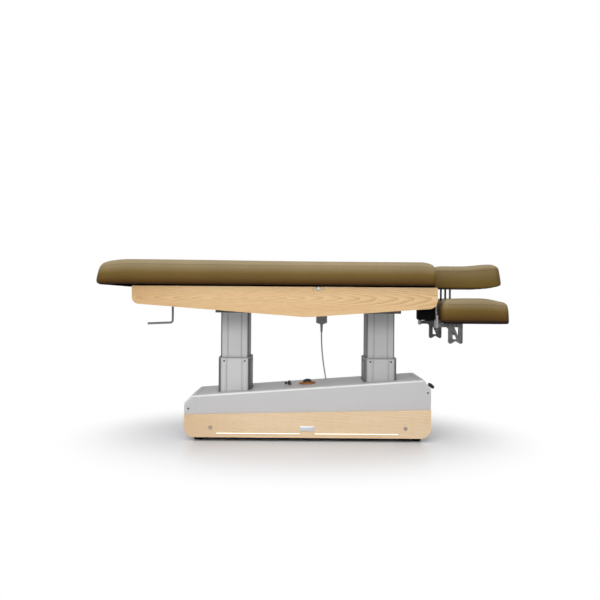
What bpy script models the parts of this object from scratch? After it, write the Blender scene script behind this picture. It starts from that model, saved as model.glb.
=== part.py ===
"""Electric massage table: twin lifting columns, lifting back, face cushion and drop arm pads.

Metres, +Z up. +X is the head end and -Y the near side. The origin lies on the floor, under the
middle of the table.
"""
import math

import bmesh
import bpy
from mathutils import Matrix, Vector

# Clearances
FIT = 0.0003
GLIDE = 0.0005
BORE_PLAY = 0.0006
RUN_GAP = 0.004

# Lying surface
BED_HEIGHT = 0.868
MATTRESS_DEPTH = 0.760
MATTRESS_THICK = 0.133
MATTRESS_CROWN = 0.012
MATTRESS_CORNER = 0.040
MATTRESS_EDGE = 0.030
MATTRESS_DRAW_IN = 0.005
MATTRESS_FOOT_OVERHANG = 0.1945
MATTRESS_HEAD_SETBACK = 0.013
PLATFORM_THICK = 0.018
PLATFORM_FOOT_SETBACK = 0.1985

# Wooden rails
RAIL_FOOT_X = -0.9375
RAIL_LENGTH = 1.668
RAIL_OUTSIDE = 0.690
RAIL_THICK = 0.028
RAIL_DROP = 0.004
RAIL_FOOT_HEIGHT = 0.0965
RAIL_APEX_HEIGHT = 0.166
RAIL_HEAD_HEIGHT = 0.113
RAIL_APEX_FROM_FOOT = 0.953
RAIL_FOOT_RADIUS = 0.038
RAIL_HEAD_RADIUS = 0.046
RAIL_TOP_RADIUS = 0.005
RAIL_APEX_RADIUS = 0.300

# Lifting back
HINGE_FROM_HEAD = 0.651
HINGE_BELOW_BED = 0.013
PLATFORM_HINGE_GAP = 0.014
BACK_TILT_MAX = math.radians(55.0)
FOLD_MARGIN = math.radians(0.5)
HINGE_PLATE_THICK = 0.006
HINGE_PLATE_LENGTH = 0.200
HINGE_PLATE_HEIGHT = 0.036
HINGE_NOSE_RADIUS = 0.011
PIVOT_DIAMETER = 0.010
PIVOT_HEAD_DIAMETER = 0.024
PIVOT_HEAD_THICK = 0.005
PIVOT_NUT_THICK = 0.006

# Back actuator
ACTUATOR_BELOW_HINGE = 0.110
ACTUATOR_BODY_LENGTH = 0.200
ACTUATOR_BODY_WIDTH = 0.064
ACTUATOR_BODY_HEIGHT = 0.070
ACTUATOR_ROD_DIAMETER = 0.020
ACTUATOR_ROD_SHOWN = 0.048
ACTUATOR_FORK_THROAT = 0.030
ACTUATOR_FORK_ROOT = 0.010
ACTUATOR_ROD_INSIDE = 0.140
ACTUATOR_FORK_RADIUS = 0.013
ACTUATOR_FORK_CHEEK = 0.006
ACTUATOR_PIN_DIAMETER = 0.012
LEVER_THICK = 0.010
LEVER_SLOT_PLAY = 0.0025
LEVER_RIM = 0.010
LEVER_ROOT_START = 0.030
LEVER_ROOT_LENGTH = 0.130
LEVER_NECK = 0.075

# Lifting columns
COLUMN_FOOT_X = -0.3935
COLUMN_SPACING = 0.838
COLUMN_WIDTH = 0.160
COLUMN_DEPTH = 0.235
COLUMN_STEP = 0.01225
COLUMN_WALL = 0.004
COLUMN_CORNER = 0.012
COLUMN_GROOVE_WIDTH = 0.004
COLUMN_GROOVE_DEPTH = 0.0015
COLUMN_GROOVE_SHARE = 0.235
COLUMN_OUTER_GAP = 0.006
COLUMN_MIDDLE_LENGTH = 0.265
COLUMN_MIDDLE_LEAD = 0.0807
COLUMN_INNER_LENGTH = 0.375
COLUMN_SHOE_HEIGHT = 0.015
COLLAR_HEIGHT = 0.006
DRIVE_MOTOR_DIAMETER = 0.090
DRIVE_MOTOR_HEIGHT = 0.034
DRIVE_SPINDLE_DIAMETER = 0.030
DRIVE_LENGTH = 0.360
BRACKET_BELOW_BED = 0.148
BRACKET_LENGTH = 0.180
BRACKET_PLATE = 0.006
BRACKET_FLANGE = 0.006
BRACKET_LIP = 0.030

# Base
BASE_FOOT_X = -0.6645
BASE_LENGTH = 1.382
BASE_DEPTH = 0.480
BASE_CORNER = 0.056
FOOT_HEIGHT = 0.022
FOOT_DIAMETER = 0.052
FOOT_FROM_END = 0.0735
FOOT_FROM_SIDE = 0.070
CHASSIS_THICK = 0.006
CHASSIS_END_GAP = 0.050
SKIRT_THICK = 0.0117
SKIRT_FOOT_TOP = 0.1475
SKIRT_HEAD_TOP = 0.1815
COVER_WALL = 0.003
COVER_FOOT_TOP = 0.253
COVER_HEAD_TOP = 0.349
COVER_FOOT_SHOULDER = 0.211
COVER_HEAD_SHOULDER = 0.299
COVER_CHAMFER_RUN = 0.040
COVER_EDGE = 0.010
END_COVER_LENGTH = 0.068
LIGHT_SLOT_LENGTH = 0.465
LIGHT_SLOT_GAP = 0.0854
LIGHT_CENTRE_X = 0.025
LIGHT_BOTTOM = 0.040
LIGHT_HEIGHT = 0.010
LIGHT_BAR_DEPTH = 0.005
LIGHT_LENS_RECESS = 0.001
CONTROL_BOX_SIZE = (0.220, 0.160, 0.080)

# Foot controls
DISC_X = 0.0265
DISC_DIAMETER = 0.100
DISC_HEIGHT = 0.012
DISC_BORE = 0.058
DISC_FLOOR = 0.003
BUTTON_PLAY = 0.001
BUTTON_TRAVEL = 0.004
BUTTON_DOME = 0.016
TOE_LEVER_X = -0.078
TOE_LEVER_CONE_DIAMETER = 0.024
TOE_LEVER_CONE_HEIGHT = 0.024
TOE_LEVER_REACH = 0.026
TOE_LEVER_KNOB_DIAMETER = 0.014
END_LEVER_Y = -0.100
END_LEVER_BELOW_SHOULDER = 0.012
END_LEVER_RISE = 0.033
END_LEVER_BOSS_DIAMETER = 0.018
END_LEVER_BOSS_LENGTH = 0.012
END_LEVER_KNOB_DIAMETER = 0.020
END_LEVER_KNOB_LENGTH = 0.038
END_LEVER_DROOP = math.radians(40.0)

# Release lever under the foot end
RELEASE_FROM_RAIL_END = 0.209
RELEASE_Y = -0.250
RELEASE_DIAMETER = 0.012
RELEASE_DROP = 0.152
RELEASE_REACH = 0.139
RELEASE_BEND = 0.014
RELEASE_PIVOT_BELOW = 0.036
RELEASE_EYE_RADIUS = 0.012
RELEASE_PIN_DIAMETER = 0.010
RELEASE_CHEEK = 0.005
RELEASE_DROOP = math.radians(2.5)

# Junction box and cable
JUNCTION_X = 0.116
JUNCTION_WIDTH = 0.068
JUNCTION_DEPTH = 0.044
JUNCTION_BELOW_BED = 0.104
JUNCTION_HEIGHT = 0.114
JUNCTION_POINT = 0.012
RELIEF_LENGTH = 0.048
RELIEF_TOP_DIAMETER = 0.018
RELIEF_TIP_DIAMETER = 0.013
CABLE_DIAMETER = 0.0085
CABLE_POINTS = 30
GLAND_X = 0.150
GLAND_Z = 0.214
GLAND_DIAMETER = 0.024
GLAND_LENGTH = 0.022

# Head section
CARRIER_LENGTH = 0.096
CARRIER_HALF_DEPTH = 0.300
CARRIER_BELOW_BED = 0.182
CARRIER_BEAM_BELOW_BED = 0.116
CARRIER_BOX_DEPTH = 0.060
CARRIER_WALL = 0.003
CARRIER_SETBACK = 0.005
MOUNT_PLATE_THICK = 0.010
MOUNT_TONGUE_BELOW_BED = 0.143
MOUNT_TONGUE_THICK = 0.025
MOUNT_TONGUE_MARGIN = 0.030
MOUNT_PLATE_HALF = 0.290
MOUNT_PLATE_RISE = 0.070
MOUNT_FOOT_RISE = 0.045
MOUNT_FOOT_MARGIN = 0.004
MOUNT_LEG_WIDTH = 0.068
POST_SPREAD = 0.140
POST_DIAMETER = 0.012
POST_LENGTH = 0.222
POST_FROM_CUSHION = 0.104
POST_EDGE = 0.040
HEAD_GAP = 0.014
HEAD_LENGTH = 0.4005
HEAD_DEPTH = 0.340
HEAD_BELOW_BED = 0.006
HEAD_THICK = 0.128
HEAD_CORNER = 0.045
HEAD_CROWN = 0.010
HEAD_HOLE_LENGTH = 0.180
HEAD_HOLE_WIDTH = 0.090
HEAD_HOLE_EDGE = 0.022
HEAD_BOARD_THICK = 0.008
HEAD_BOARD_INSET = 0.020
HEAD_BOARD_OUTER_INSET = 0.114
HEAD_HOLE_FROM_INNER = 0.226
HEAD_HOLE_BOARD_GAP = 0.006
HEAD_EDGE = 0.030
HEAD_RISE = 0.024
HEAD_HEEL_RISE = 0.022
HEAD_DRAW_IN = 0.004

# Arm pads
ARM_GAP = 0.012
ARM_LENGTH = 0.365
ARM_DEPTH = 0.190
ARM_CENTRE_Y = 0.295
ARM_THICK = 0.142
ARM_CROWN = 0.010
ARM_CORNER = 0.030
ARM_EDGE = 0.028
ARM_DRAW_IN = 0.003
ARM_BELOW_BED = 0.199
ARM_BOARD_THICK = 0.010
ARM_BOARD_INSET = 0.030
ARM_ROD_FROM_END = 0.0577
ARM_ROD_SPACING = 0.055
ARM_ROD_DIAMETER = 0.0144
ARM_ROD_LENGTH = 0.088
ARM_BRACKET_Y = 0.315
ARM_BRACKET_WIDTH = 0.022
ARM_BRACKET_HEIGHT = 0.105
ARM_BRACKET_BAR = 0.020
ARM_BRACKET_POINT = 0.006
KNOB_DIAMETER = 0.026
KNOB_LENGTH = 0.030

# Worked-out places
PLATFORM_TOP = BED_HEIGHT - FIT
PLATFORM_BOTTOM = PLATFORM_TOP - PLATFORM_THICK
RAIL_TOP = BED_HEIGHT - RAIL_DROP
RAIL_HEAD_X = RAIL_FOOT_X + RAIL_LENGTH
RAIL_INSIDE = RAIL_OUTSIDE / 2 - RAIL_THICK
HINGE_X = RAIL_HEAD_X - HINGE_FROM_HEAD
HINGE_Z = BED_HEIGHT - HINGE_BELOW_BED
MATTRESS_FOOT_X = RAIL_FOOT_X - MATTRESS_FOOT_OVERHANG
MATTRESS_HEAD_X = RAIL_HEAD_X - MATTRESS_HEAD_SETBACK
BACK_HALF = RAIL_INSIDE - RUN_GAP - HINGE_PLATE_THICK - FIT
BASE_HEAD_X = BASE_FOOT_X + BASE_LENGTH
CHASSIS_TOP = FOOT_HEIGHT + FIT + CHASSIS_THICK
COVER_HALF = BASE_DEPTH / 2 - SKIRT_THICK - FIT
COVER_BOTTOM = CHASSIS_TOP + FIT
COVER_SLOPE = (COVER_HEAD_TOP - COVER_FOOT_TOP) / (BASE_LENGTH - 2 * COVER_CHAMFER_RUN)
COVER_TILT = math.atan(COVER_SLOPE)
BRACKET_BOTTOM = BED_HEIGHT - BRACKET_BELOW_BED
COLUMN_MIDDLE_TOP = (COVER_BOTTOM + BRACKET_BOTTOM) / 2 + COLUMN_MIDDLE_LEAD
COLUMN_XS = {"foot": COLUMN_FOOT_X, "head": COLUMN_FOOT_X + COLUMN_SPACING}
CARRIER_HEAD_X = RAIL_HEAD_X - CARRIER_SETBACK
CARRIER_BOTTOM = BED_HEIGHT - CARRIER_BELOW_BED
BEAM_BOTTOM = BED_HEIGHT - CARRIER_BEAM_BELOW_BED
MOUNT_X = CARRIER_HEAD_X + FIT
MOUNT_HEAD_X = MOUNT_X + MOUNT_PLATE_THICK
HEAD_X = MATTRESS_HEAD_X + HEAD_GAP
HEAD_BOTTOM = BED_HEIGHT - HEAD_BELOW_BED
HEAD_BOARD_BOTTOM = HEAD_BOTTOM - FIT
POST_X = HEAD_X + POST_FROM_CUSHION
TONGUE_TOP = BED_HEIGHT - MOUNT_TONGUE_BELOW_BED
ARM_X = MOUNT_HEAD_X + ARM_GAP
ARM_BOTTOM = BED_HEIGHT - ARM_BELOW_BED
ARM_BOARD_BOTTOM = ARM_BOTTOM - FIT
ARM_BRACKET_TOP = ARM_BOARD_BOTTOM - FIT
ARM_BRACKET_FEET = ARM_BRACKET_TOP - ARM_BRACKET_HEIGHT
ARM_ROD_XS = (ARM_X + ARM_ROD_FROM_END, ARM_X + ARM_ROD_FROM_END + ARM_ROD_SPACING)
RELEASE_X = RAIL_FOOT_X + RELEASE_FROM_RAIL_END
RELEASE_Z = PLATFORM_BOTTOM - RELEASE_PIVOT_BELOW
JUNCTION_TOP = BED_HEIGHT - JUNCTION_BELOW_BED
JUNCTION_SHOULDER = JUNCTION_TOP - JUNCTION_HEIGHT
JUNCTION_TIP = JUNCTION_SHOULDER - JUNCTION_POINT
JUNCTION_Y = RAIL_INSIDE - FIT - JUNCTION_DEPTH / 2
RELIEF_BOTTOM = JUNCTION_TIP - RELIEF_LENGTH
PIN_BACK = ACTUATOR_BELOW_HINGE * math.tan(BACK_TILT_MAX / 2)
PIN_X = HINGE_X - PIN_BACK
PIN_Z = HINGE_Z - ACTUATOR_BELOW_HINGE


# Shape tools

def finish_mesh(name, bm, origin=(0.0, 0.0, 0.0)):
    """A mesh of the faces in bm, outward, with its points measured from origin."""
    bmesh.ops.recalc_face_normals(bm, faces=bm.faces)
    bmesh.ops.translate(bm, verts=bm.verts, vec=-Vector(origin))
    mesh = bpy.data.meshes.new(name)
    bm.to_mesh(mesh)
    bm.free()
    return mesh


def add_node(name, bm, material, origin=(0.0, 0.0, 0.0), smooth=False):
    """One named piece of the table, with its origin at its joint where it moves."""
    obj = bpy.data.objects.new(name, finish_mesh(name, bm, origin))
    obj.location = origin
    obj.data.materials.append(material)
    bpy.context.scene.collection.objects.link(obj)
    if smooth:
        obj.data.shade_smooth()
        obj.data.set_sharp_from_angle(angle=math.radians(35.0))
    return obj


def add_helper(name, bm):
    """A hidden body that a Boolean uses."""
    helper = bpy.data.objects.new(name, finish_mesh(name, bm))
    helper.hide_render = True
    helper.display_type = "WIRE"
    bpy.context.scene.collection.objects.link(helper)
    return helper


def combine(obj, bm, operation):
    """A Boolean on obj with the body in bm: UNION, DIFFERENCE or INTERSECT."""
    count = len(obj.modifiers)
    modifier = obj.modifiers.new(f"{operation.lower()}_{count}", "BOOLEAN")
    modifier.operation = operation
    modifier.solver = "EXACT"
    modifier.object = add_helper(f"{obj.name}_{operation.lower()}_{count}", bm)


def stack(loops, closed=False):
    """Matching loops of points joined in turn, with flat ends, or closed from last to first."""
    bm = bmesh.new()
    rings = [[bm.verts.new(point) for point in loop] for loop in loops]
    pairs = list(zip(rings, rings[1:]))
    if closed:
        pairs.append((rings[-1], rings[0]))
    else:
        bm.faces.new(rings[0])
        bm.faces.new(rings[-1])
    for low, high in pairs:
        count = len(low)
        for i in range(count):
            j = (i + 1) % count
            bm.faces.new((low[i], low[j], high[j], high[i]))
    return bm


PLACES = {
    "X": lambda u, v, along: (along, u, v),
    "Y": lambda u, v, along: (u, along, v),
    "Z": lambda u, v, along: (u, v, along),
}


def prism(points, axis, start, end):
    """A flat outline carried along an axis, from start to end."""
    place = PLACES[axis]
    return stack([[place(u, v, along) for u, v in points] for along in (start, end)])


def box(x0, x1, y0, y1, z0, z1):
    """A plain block between two corners."""
    return prism([(x0, y0), (x1, y0), (x1, y1), (x0, y1)], "Z", z0, z1)


def rounded(corners, steps=5):
    """An outline whose corners (u, v, radius) are rounded by arcs tangent to both sides."""
    points = []
    count = len(corners)
    for i, (u, v, radius) in enumerate(corners):
        here = Vector((u, v))
        if radius == 0.0:
            points.append((u, v))
            continue
        before = (Vector(corners[i - 1][:2]) - here).normalized()
        after = (Vector(corners[(i + 1) % count][:2]) - here).normalized()
        half = before.angle(after) / 2
        centre = here + (before + after).normalized() * (radius / math.sin(half))
        run = radius / math.tan(half)
        start = here + before * run - centre
        end = here + after * run - centre
        sweep = math.copysign(math.pi - 2 * half, start.cross(end))
        for k in range(steps + 1):
            arm = Matrix.Rotation(sweep * k / steps, 2) @ start
            points.append(tuple(centre + arm))
    return points


def rectangle(u0, u1, v0, v1, radius=0.0, steps=5):
    """A rectangle outline with rounded corners."""
    return rounded([(u0, v0, radius), (u1, v0, radius), (u1, v1, radius), (u0, v1, radius)], steps)


def lathe(profile, base, axis=(0.0, 0.0, 1.0), sides=20):
    """A profile of (radius, height) points turned round an axis through base; ends are flat."""
    turn = Vector((0.0, 0.0, 1.0)).rotation_difference(Vector(axis)).to_matrix().to_4x4()
    place = Matrix.Translation(base) @ turn
    angles = [2 * math.pi * k / sides for k in range(sides)]
    loops = []
    for radius, height in profile:
        ring = [place @ Vector((radius * math.cos(a), radius * math.sin(a), height)) for a in angles]
        loops.append(ring)
    return stack(loops)


def rod(start, end, diameter, sides=16):
    """A round bar from start to end."""
    line = Vector(end) - Vector(start)
    return lathe([(diameter / 2, 0.0), (diameter / 2, line.length)], start, line.normalized(), sides)


def colour(name, hex_value, roughness, metallic=0.0):
    """A Principled material of one sRGB colour."""
    channels = [((hex_value >> shift) & 255) / 255 for shift in (16, 8, 0)]
    linear = [c / 12.92 if c <= 0.04045 else ((c + 0.055) / 1.055) ** 2.4 for c in channels]
    material = bpy.data.materials.new(name)
    material.use_nodes = True
    shader = material.node_tree.nodes["Principled BSDF"]
    shader.inputs["Base Color"].default_value = (*linear, 1.0)
    shader.inputs["Roughness"].default_value = roughness
    shader.inputs["Metallic"].default_value = metallic
    return material


# Padded pieces

def pad_outline(x0, x1, y0, y1, corner, draw_in, inset, side_steps):
    """A rounded plan outline, inset evenly, whose sides draw in between the corners."""
    radius = max(corner - inset, 0.2 * corner)
    u0, u1, v0, v1 = x0 + inset, x1 - inset, y0 + inset, y1 - inset
    centres = [(u1 - radius, v1 - radius, 0), (u0 + radius, v1 - radius, 1)]
    centres += [(u0 + radius, v0 + radius, 2), (u1 - radius, v0 + radius, 3)]
    points = []
    corner_steps = 6
    for index, (cu, cv, quarter) in enumerate(centres):
        for k in range(corner_steps + 1):
            angle = (quarter + k / corner_steps) * math.pi / 2
            points.append((cu + radius * math.cos(angle), cv + radius * math.sin(angle)))
        nu, nv, _ = centres[(index + 1) % 4]
        end_angle = (quarter + 1) * math.pi / 2
        out = (math.cos(end_angle), math.sin(end_angle))
        steps = side_steps[index % 2]
        for k in range(1, steps):
            share = k / steps
            sink = 4 * share * (1 - share) * draw_in
            points.append((
                cu + (nu - cu) * share + (radius - sink) * out[0],
                cv + (nv - cv) * share + (radius - sink) * out[1],
            ))
    return points


def edge_rings(height, edge, top_share=1.0):
    """(inset, height) pairs up a padded side: a small round foot, the wall and a large round top edge."""
    foot = edge * 0.45
    rings = [(foot, 0.0), (foot * 0.3, foot * 0.3), (0.0, foot)]
    rings.append((0.0, height - edge))
    for k in range(1, 5):
        angle = math.pi / 2 * k / 4
        rings.append((edge * (1 - math.cos(angle)), height - edge + edge * top_share * math.sin(angle)))
    return rings


def cushion(x0, x1, y0, y1, z0, height, corner, edge, crown, draw_in, side_steps):
    """A closed pad: flat below, drawn-in sides, round top edge and a crown that rises inwards."""
    rings = edge_rings(height, edge)
    reach = min(x1 - x0, y1 - y0) * 0.45
    for share in (0.35, 0.65, 1.0):
        rise = crown * (1 - (1 - share) ** 2)
        rings.append((edge + (reach - edge) * share, height + rise))
    loops = []
    for inset, up in rings:
        outline = pad_outline(x0, x1, y0, y1, corner, draw_in, inset, side_steps)
        loops.append([(u, v, z0 + up) for u, v in outline])
    return stack(loops)


def keep_side(bm, point, normal):
    """Cuts a closed body by a plane, keeps the side behind the normal and closes the cut."""
    geometry = bm.verts[:] + bm.edges[:] + bm.faces[:]
    cut = bmesh.ops.bisect_plane(bm, geom=geometry, plane_co=point, plane_no=normal, clear_outer=True)
    edges = [item for item in cut["geom_cut"] if isinstance(item, bmesh.types.BMEdge)]
    bmesh.ops.edgeloop_fill(bm, edges=edges)


def mattress_body():
    """The whole mattress before it is parted at the fold."""
    half = MATTRESS_DEPTH / 2
    return cushion(
        MATTRESS_FOOT_X, MATTRESS_HEAD_X, -half, half, BED_HEIGHT, MATTRESS_THICK,
        MATTRESS_CORNER, MATTRESS_EDGE, MATTRESS_CROWN, MATTRESS_DRAW_IN, (14, 6),
    )


def fold_plane(side, gap):
    """A point and a normal of the fold's flank, which leans from the hinge axis to one side."""
    lean = BACK_TILT_MAX / 2 + FOLD_MARGIN
    normal = Vector((side * math.cos(lean), 0.0, -math.sin(lean)))
    return Vector((HINGE_X, 0.0, HINGE_Z)) + normal * gap, normal


def add_mattress(material):
    """Leg section, back section and the soft fold between them, over the hinge."""
    leg = mattress_body()
    point, normal = fold_plane(-1, FIT)
    keep_side(leg, point, -normal)
    add_node("mattress_leg", leg, material, smooth=True)
    back = mattress_body()
    point, normal = fold_plane(1, FIT)
    keep_side(back, point, -normal)
    add_node("mattress_back", back, material, (HINGE_X, 0.0, HINGE_Z), smooth=True)
    fold = mattress_body()
    for side in (-1, 1):
        point, normal = fold_plane(side, 0.0)
        keep_side(fold, point, normal)
    add_node("mattress_fold", fold, material, (HINGE_X, 0.0, HINGE_Z), smooth=True)


# Base

SIDES = {"near": -1, "far": 1}


def cover_top(x):
    """Height of the sloping cover top at x."""
    return COVER_FOOT_TOP + COVER_SLOPE * (x - BASE_FOOT_X - COVER_CHAMFER_RUN)


def cover_outline(inset):
    """Side outline of the base cover: sloping top, chamfered shoulders and round lower corners."""
    x0, x1 = BASE_FOOT_X + inset, BASE_HEAD_X - inset
    corner = BASE_CORNER - inset
    bottom = COVER_BOTTOM + inset
    return rounded([
        (x0, bottom, corner),
        (x1, bottom, corner),
        (x1, COVER_HEAD_SHOULDER - inset, 0.0),
        (x1 - COVER_CHAMFER_RUN, COVER_HEAD_TOP - inset, 0.0),
        (x0 + COVER_CHAMFER_RUN, COVER_FOOT_TOP - inset, 0.0),
        (x0, COVER_FOOT_SHOULDER - inset, 0.0),
    ])


def cover_block():
    """The outer form of the whole cover, with its long top edges rounded."""
    bm = prism(cover_outline(0.0), "Y", -COVER_HALF, COVER_HALF)
    low = min(COVER_FOOT_SHOULDER, COVER_HEAD_SHOULDER) - FIT
    edges = []
    for edge in bm.edges:
        ends = [vert.co for vert in edge.verts]
        along_side = abs(ends[0].y - ends[1].y) < FIT
        if along_side and min(end.z for end in ends) > low:
            edges.append(edge)
    bmesh.ops.bevel(bm, geom=edges, offset=COVER_EDGE, segments=2, profile=0.5, affect="EDGES")
    return bm


def add_cover(name, x0, x1, material):
    """One length of the cover, a shell that is open below."""
    piece = add_node(name, cover_block(), material)
    reach = BASE_DEPTH
    combine(piece, box(x0, x1, -reach, reach, -reach, reach), "INTERSECT")
    half = COVER_HALF - COVER_WALL
    combine(piece, prism(cover_outline(COVER_WALL), "Y", -half, half), "DIFFERENCE")
    x_open = BASE_FOOT_X + BASE_CORNER
    x_close = BASE_HEAD_X - BASE_CORNER
    z_open = COVER_BOTTOM + 2 * COVER_WALL
    combine(piece, box(x_open, x_close, -half, half, -z_open, z_open), "DIFFERENCE")
    return piece


def add_covers(material):
    """Middle cover with its column openings, and an end cover at each end."""
    foot_seam = BASE_FOOT_X + END_COVER_LENGTH
    head_seam = BASE_HEAD_X - END_COVER_LENGTH
    middle = add_cover("base_cover", foot_seam + FIT, head_seam - FIT, material)
    half_width = COLUMN_WIDTH / 2 + COLUMN_STEP + RUN_GAP
    half_depth = COLUMN_DEPTH / 2 + COLUMN_STEP + RUN_GAP
    for x in COLUMN_XS.values():
        outline = rectangle(x - half_width, x + half_width, -half_depth, half_depth, COLUMN_CORNER)
        combine(middle, prism(outline, "Z", COVER_FOOT_SHOULDER / 2, 2 * COVER_HEAD_TOP), "DIFFERENCE")
    reach = BASE_LENGTH
    add_cover("end_cover_foot", BASE_FOOT_X - reach, foot_seam, material)
    add_cover("end_cover_head", head_seam, BASE_HEAD_X + reach, material)


def light_outline(side, grow, back, front):
    """Plan of a light bar with two lenses: the bar lies behind, the lenses reach out to front."""
    wall = COVER_HALF + FIT
    inner_start = LIGHT_CENTRE_X - LIGHT_SLOT_GAP / 2 + grow
    inner_end = LIGHT_CENTRE_X + LIGHT_SLOT_GAP / 2 - grow
    start = LIGHT_CENTRE_X - LIGHT_SLOT_GAP / 2 - LIGHT_SLOT_LENGTH - grow
    end = LIGHT_CENTRE_X + LIGHT_SLOT_GAP / 2 + LIGHT_SLOT_LENGTH + grow
    bar = LIGHT_BAR_DEPTH + grow
    plan = [(start, back), (end, back), (end, front), (inner_end, front), (inner_end, bar)]
    plan += [(inner_start, bar), (inner_start, front), (start, front)]
    return [(x, side * (wall + out)) for x, out in plan]


def add_skirts(wood, light):
    """Wooden skirt on each long side, with a light bar let in from behind."""
    for name, side in SIDES.items():
        outline = rounded([
            (BASE_FOOT_X, FOOT_HEIGHT, BASE_CORNER),
            (BASE_HEAD_X, FOOT_HEIGHT, BASE_CORNER),
            (BASE_HEAD_X, SKIRT_HEAD_TOP, 0.0),
            (BASE_FOOT_X, SKIRT_FOOT_TOP, 0.0),
        ])
        inner = side * (COVER_HALF + FIT)
        skirt = add_node(f"skirt_{name}", prism(outline, "Y", inner, side * BASE_DEPTH / 2), wood)
        slot = light_outline(side, FIT, -SKIRT_THICK, 2 * SKIRT_THICK)
        top = LIGHT_BOTTOM + LIGHT_HEIGHT
        combine(skirt, prism(slot, "Z", LIGHT_BOTTOM - FIT, top + FIT), "DIFFERENCE")
        bar = light_outline(side, 0.0, 0.0, SKIRT_THICK - LIGHT_LENS_RECESS)
        add_node(f"light_strip_{name}", prism(bar, "Z", LIGHT_BOTTOM, top), light)


def add_chassis(steel, rubber, plastic):
    """Steel floor plate on four feet, and the control box that stands on it."""
    x0 = BASE_FOOT_X + CHASSIS_END_GAP
    x1 = BASE_HEAD_X - CHASSIS_END_GAP
    plate = rectangle(x0, x1, -COVER_HALF, COVER_HALF)
    add_node("base_chassis", prism(plate, "Z", FOOT_HEIGHT + FIT, CHASSIS_TOP), steel)
    radius = FOOT_DIAMETER / 2
    profile = [(0.85 * radius, 0.0), (radius, 0.15 * FOOT_HEIGHT)]
    profile += [(radius, 0.7 * FOOT_HEIGHT), (0.7 * radius, FOOT_HEIGHT)]
    ends = {"foot": BASE_FOOT_X + FOOT_FROM_END, "head": BASE_HEAD_X - FOOT_FROM_END}
    for end, x in ends.items():
        for name, side in SIDES.items():
            place = (x, side * (BASE_DEPTH / 2 - FOOT_FROM_SIDE), 0.0)
            add_node(f"foot_{end}_{name}", lathe(profile, place), rubber, smooth=True)
    length, depth, height = CONTROL_BOX_SIZE
    middle = COLUMN_FOOT_X + COLUMN_SPACING / 2
    outline = rectangle(middle - length / 2, middle + length / 2, -depth / 2, depth / 2, COLUMN_CORNER)
    add_node("control_box", prism(outline, "Z", COVER_BOTTOM, COVER_BOTTOM + height), plastic)


# Columns

def column_loop(x, grow, z, groove):
    """A tube loop, grown from the inner tube, with two shallow grooves on each long face."""
    half_w = COLUMN_WIDTH / 2 + grow
    half_d = COLUMN_DEPTH / 2 + grow
    radius = COLUMN_CORNER + grow
    corners = []
    for side in (-1, 1):
        corners.append((side * half_w, side * half_d, radius))
        for place in (-1, 1):
            centre = -side * place * 2 * half_w * COLUMN_GROOVE_SHARE
            for across, depth in ((-0.5, 0.0), (-0.25, groove), (0.25, groove), (0.5, 0.0)):
                u = centre - side * across * COLUMN_GROOVE_WIDTH
                corners.append((u, side * (half_d - depth), 0.0))
        corners.append((-side * half_w, side * half_d, radius))
    return [(x + u, v, z) for u, v in rounded(corners, 4)]


def tube(x, bottom, top, outside, shoe=None):
    """A column tube, open at both ends, with a glide shoe round its lower end if one is given."""
    inside = outside - COLUMN_WALL
    loops = [column_loop(x, inside, bottom, 0.0)]
    start = bottom
    if shoe is not None:
        start = bottom + COLUMN_SHOE_HEIGHT
        loops.append(column_loop(x, shoe, bottom, 0.0))
        loops.append(column_loop(x, shoe, start, 0.0))
    loops.append(column_loop(x, outside, start, COLUMN_GROOVE_DEPTH))
    loops.append(column_loop(x, outside, top, COLUMN_GROOVE_DEPTH))
    loops.append(column_loop(x, inside, top, 0.0))
    return stack(loops, closed=True)


def bracket_outline():
    """Cross outline of a column bracket: floor, two flanges and lips that carry the boards."""
    half = RAIL_INSIDE - FIT
    low, high = BRACKET_BOTTOM, PLATFORM_BOTTOM - FIT
    right = [(half, low), (half, high), (half - BRACKET_LIP, high)]
    right += [(half - BRACKET_LIP, high - BRACKET_FLANGE), (half - BRACKET_FLANGE, high - BRACKET_FLANGE)]
    right += [(half - BRACKET_FLANGE, low + BRACKET_PLATE)]
    return right + [(-u, v) for u, v in reversed(right)]


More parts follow.
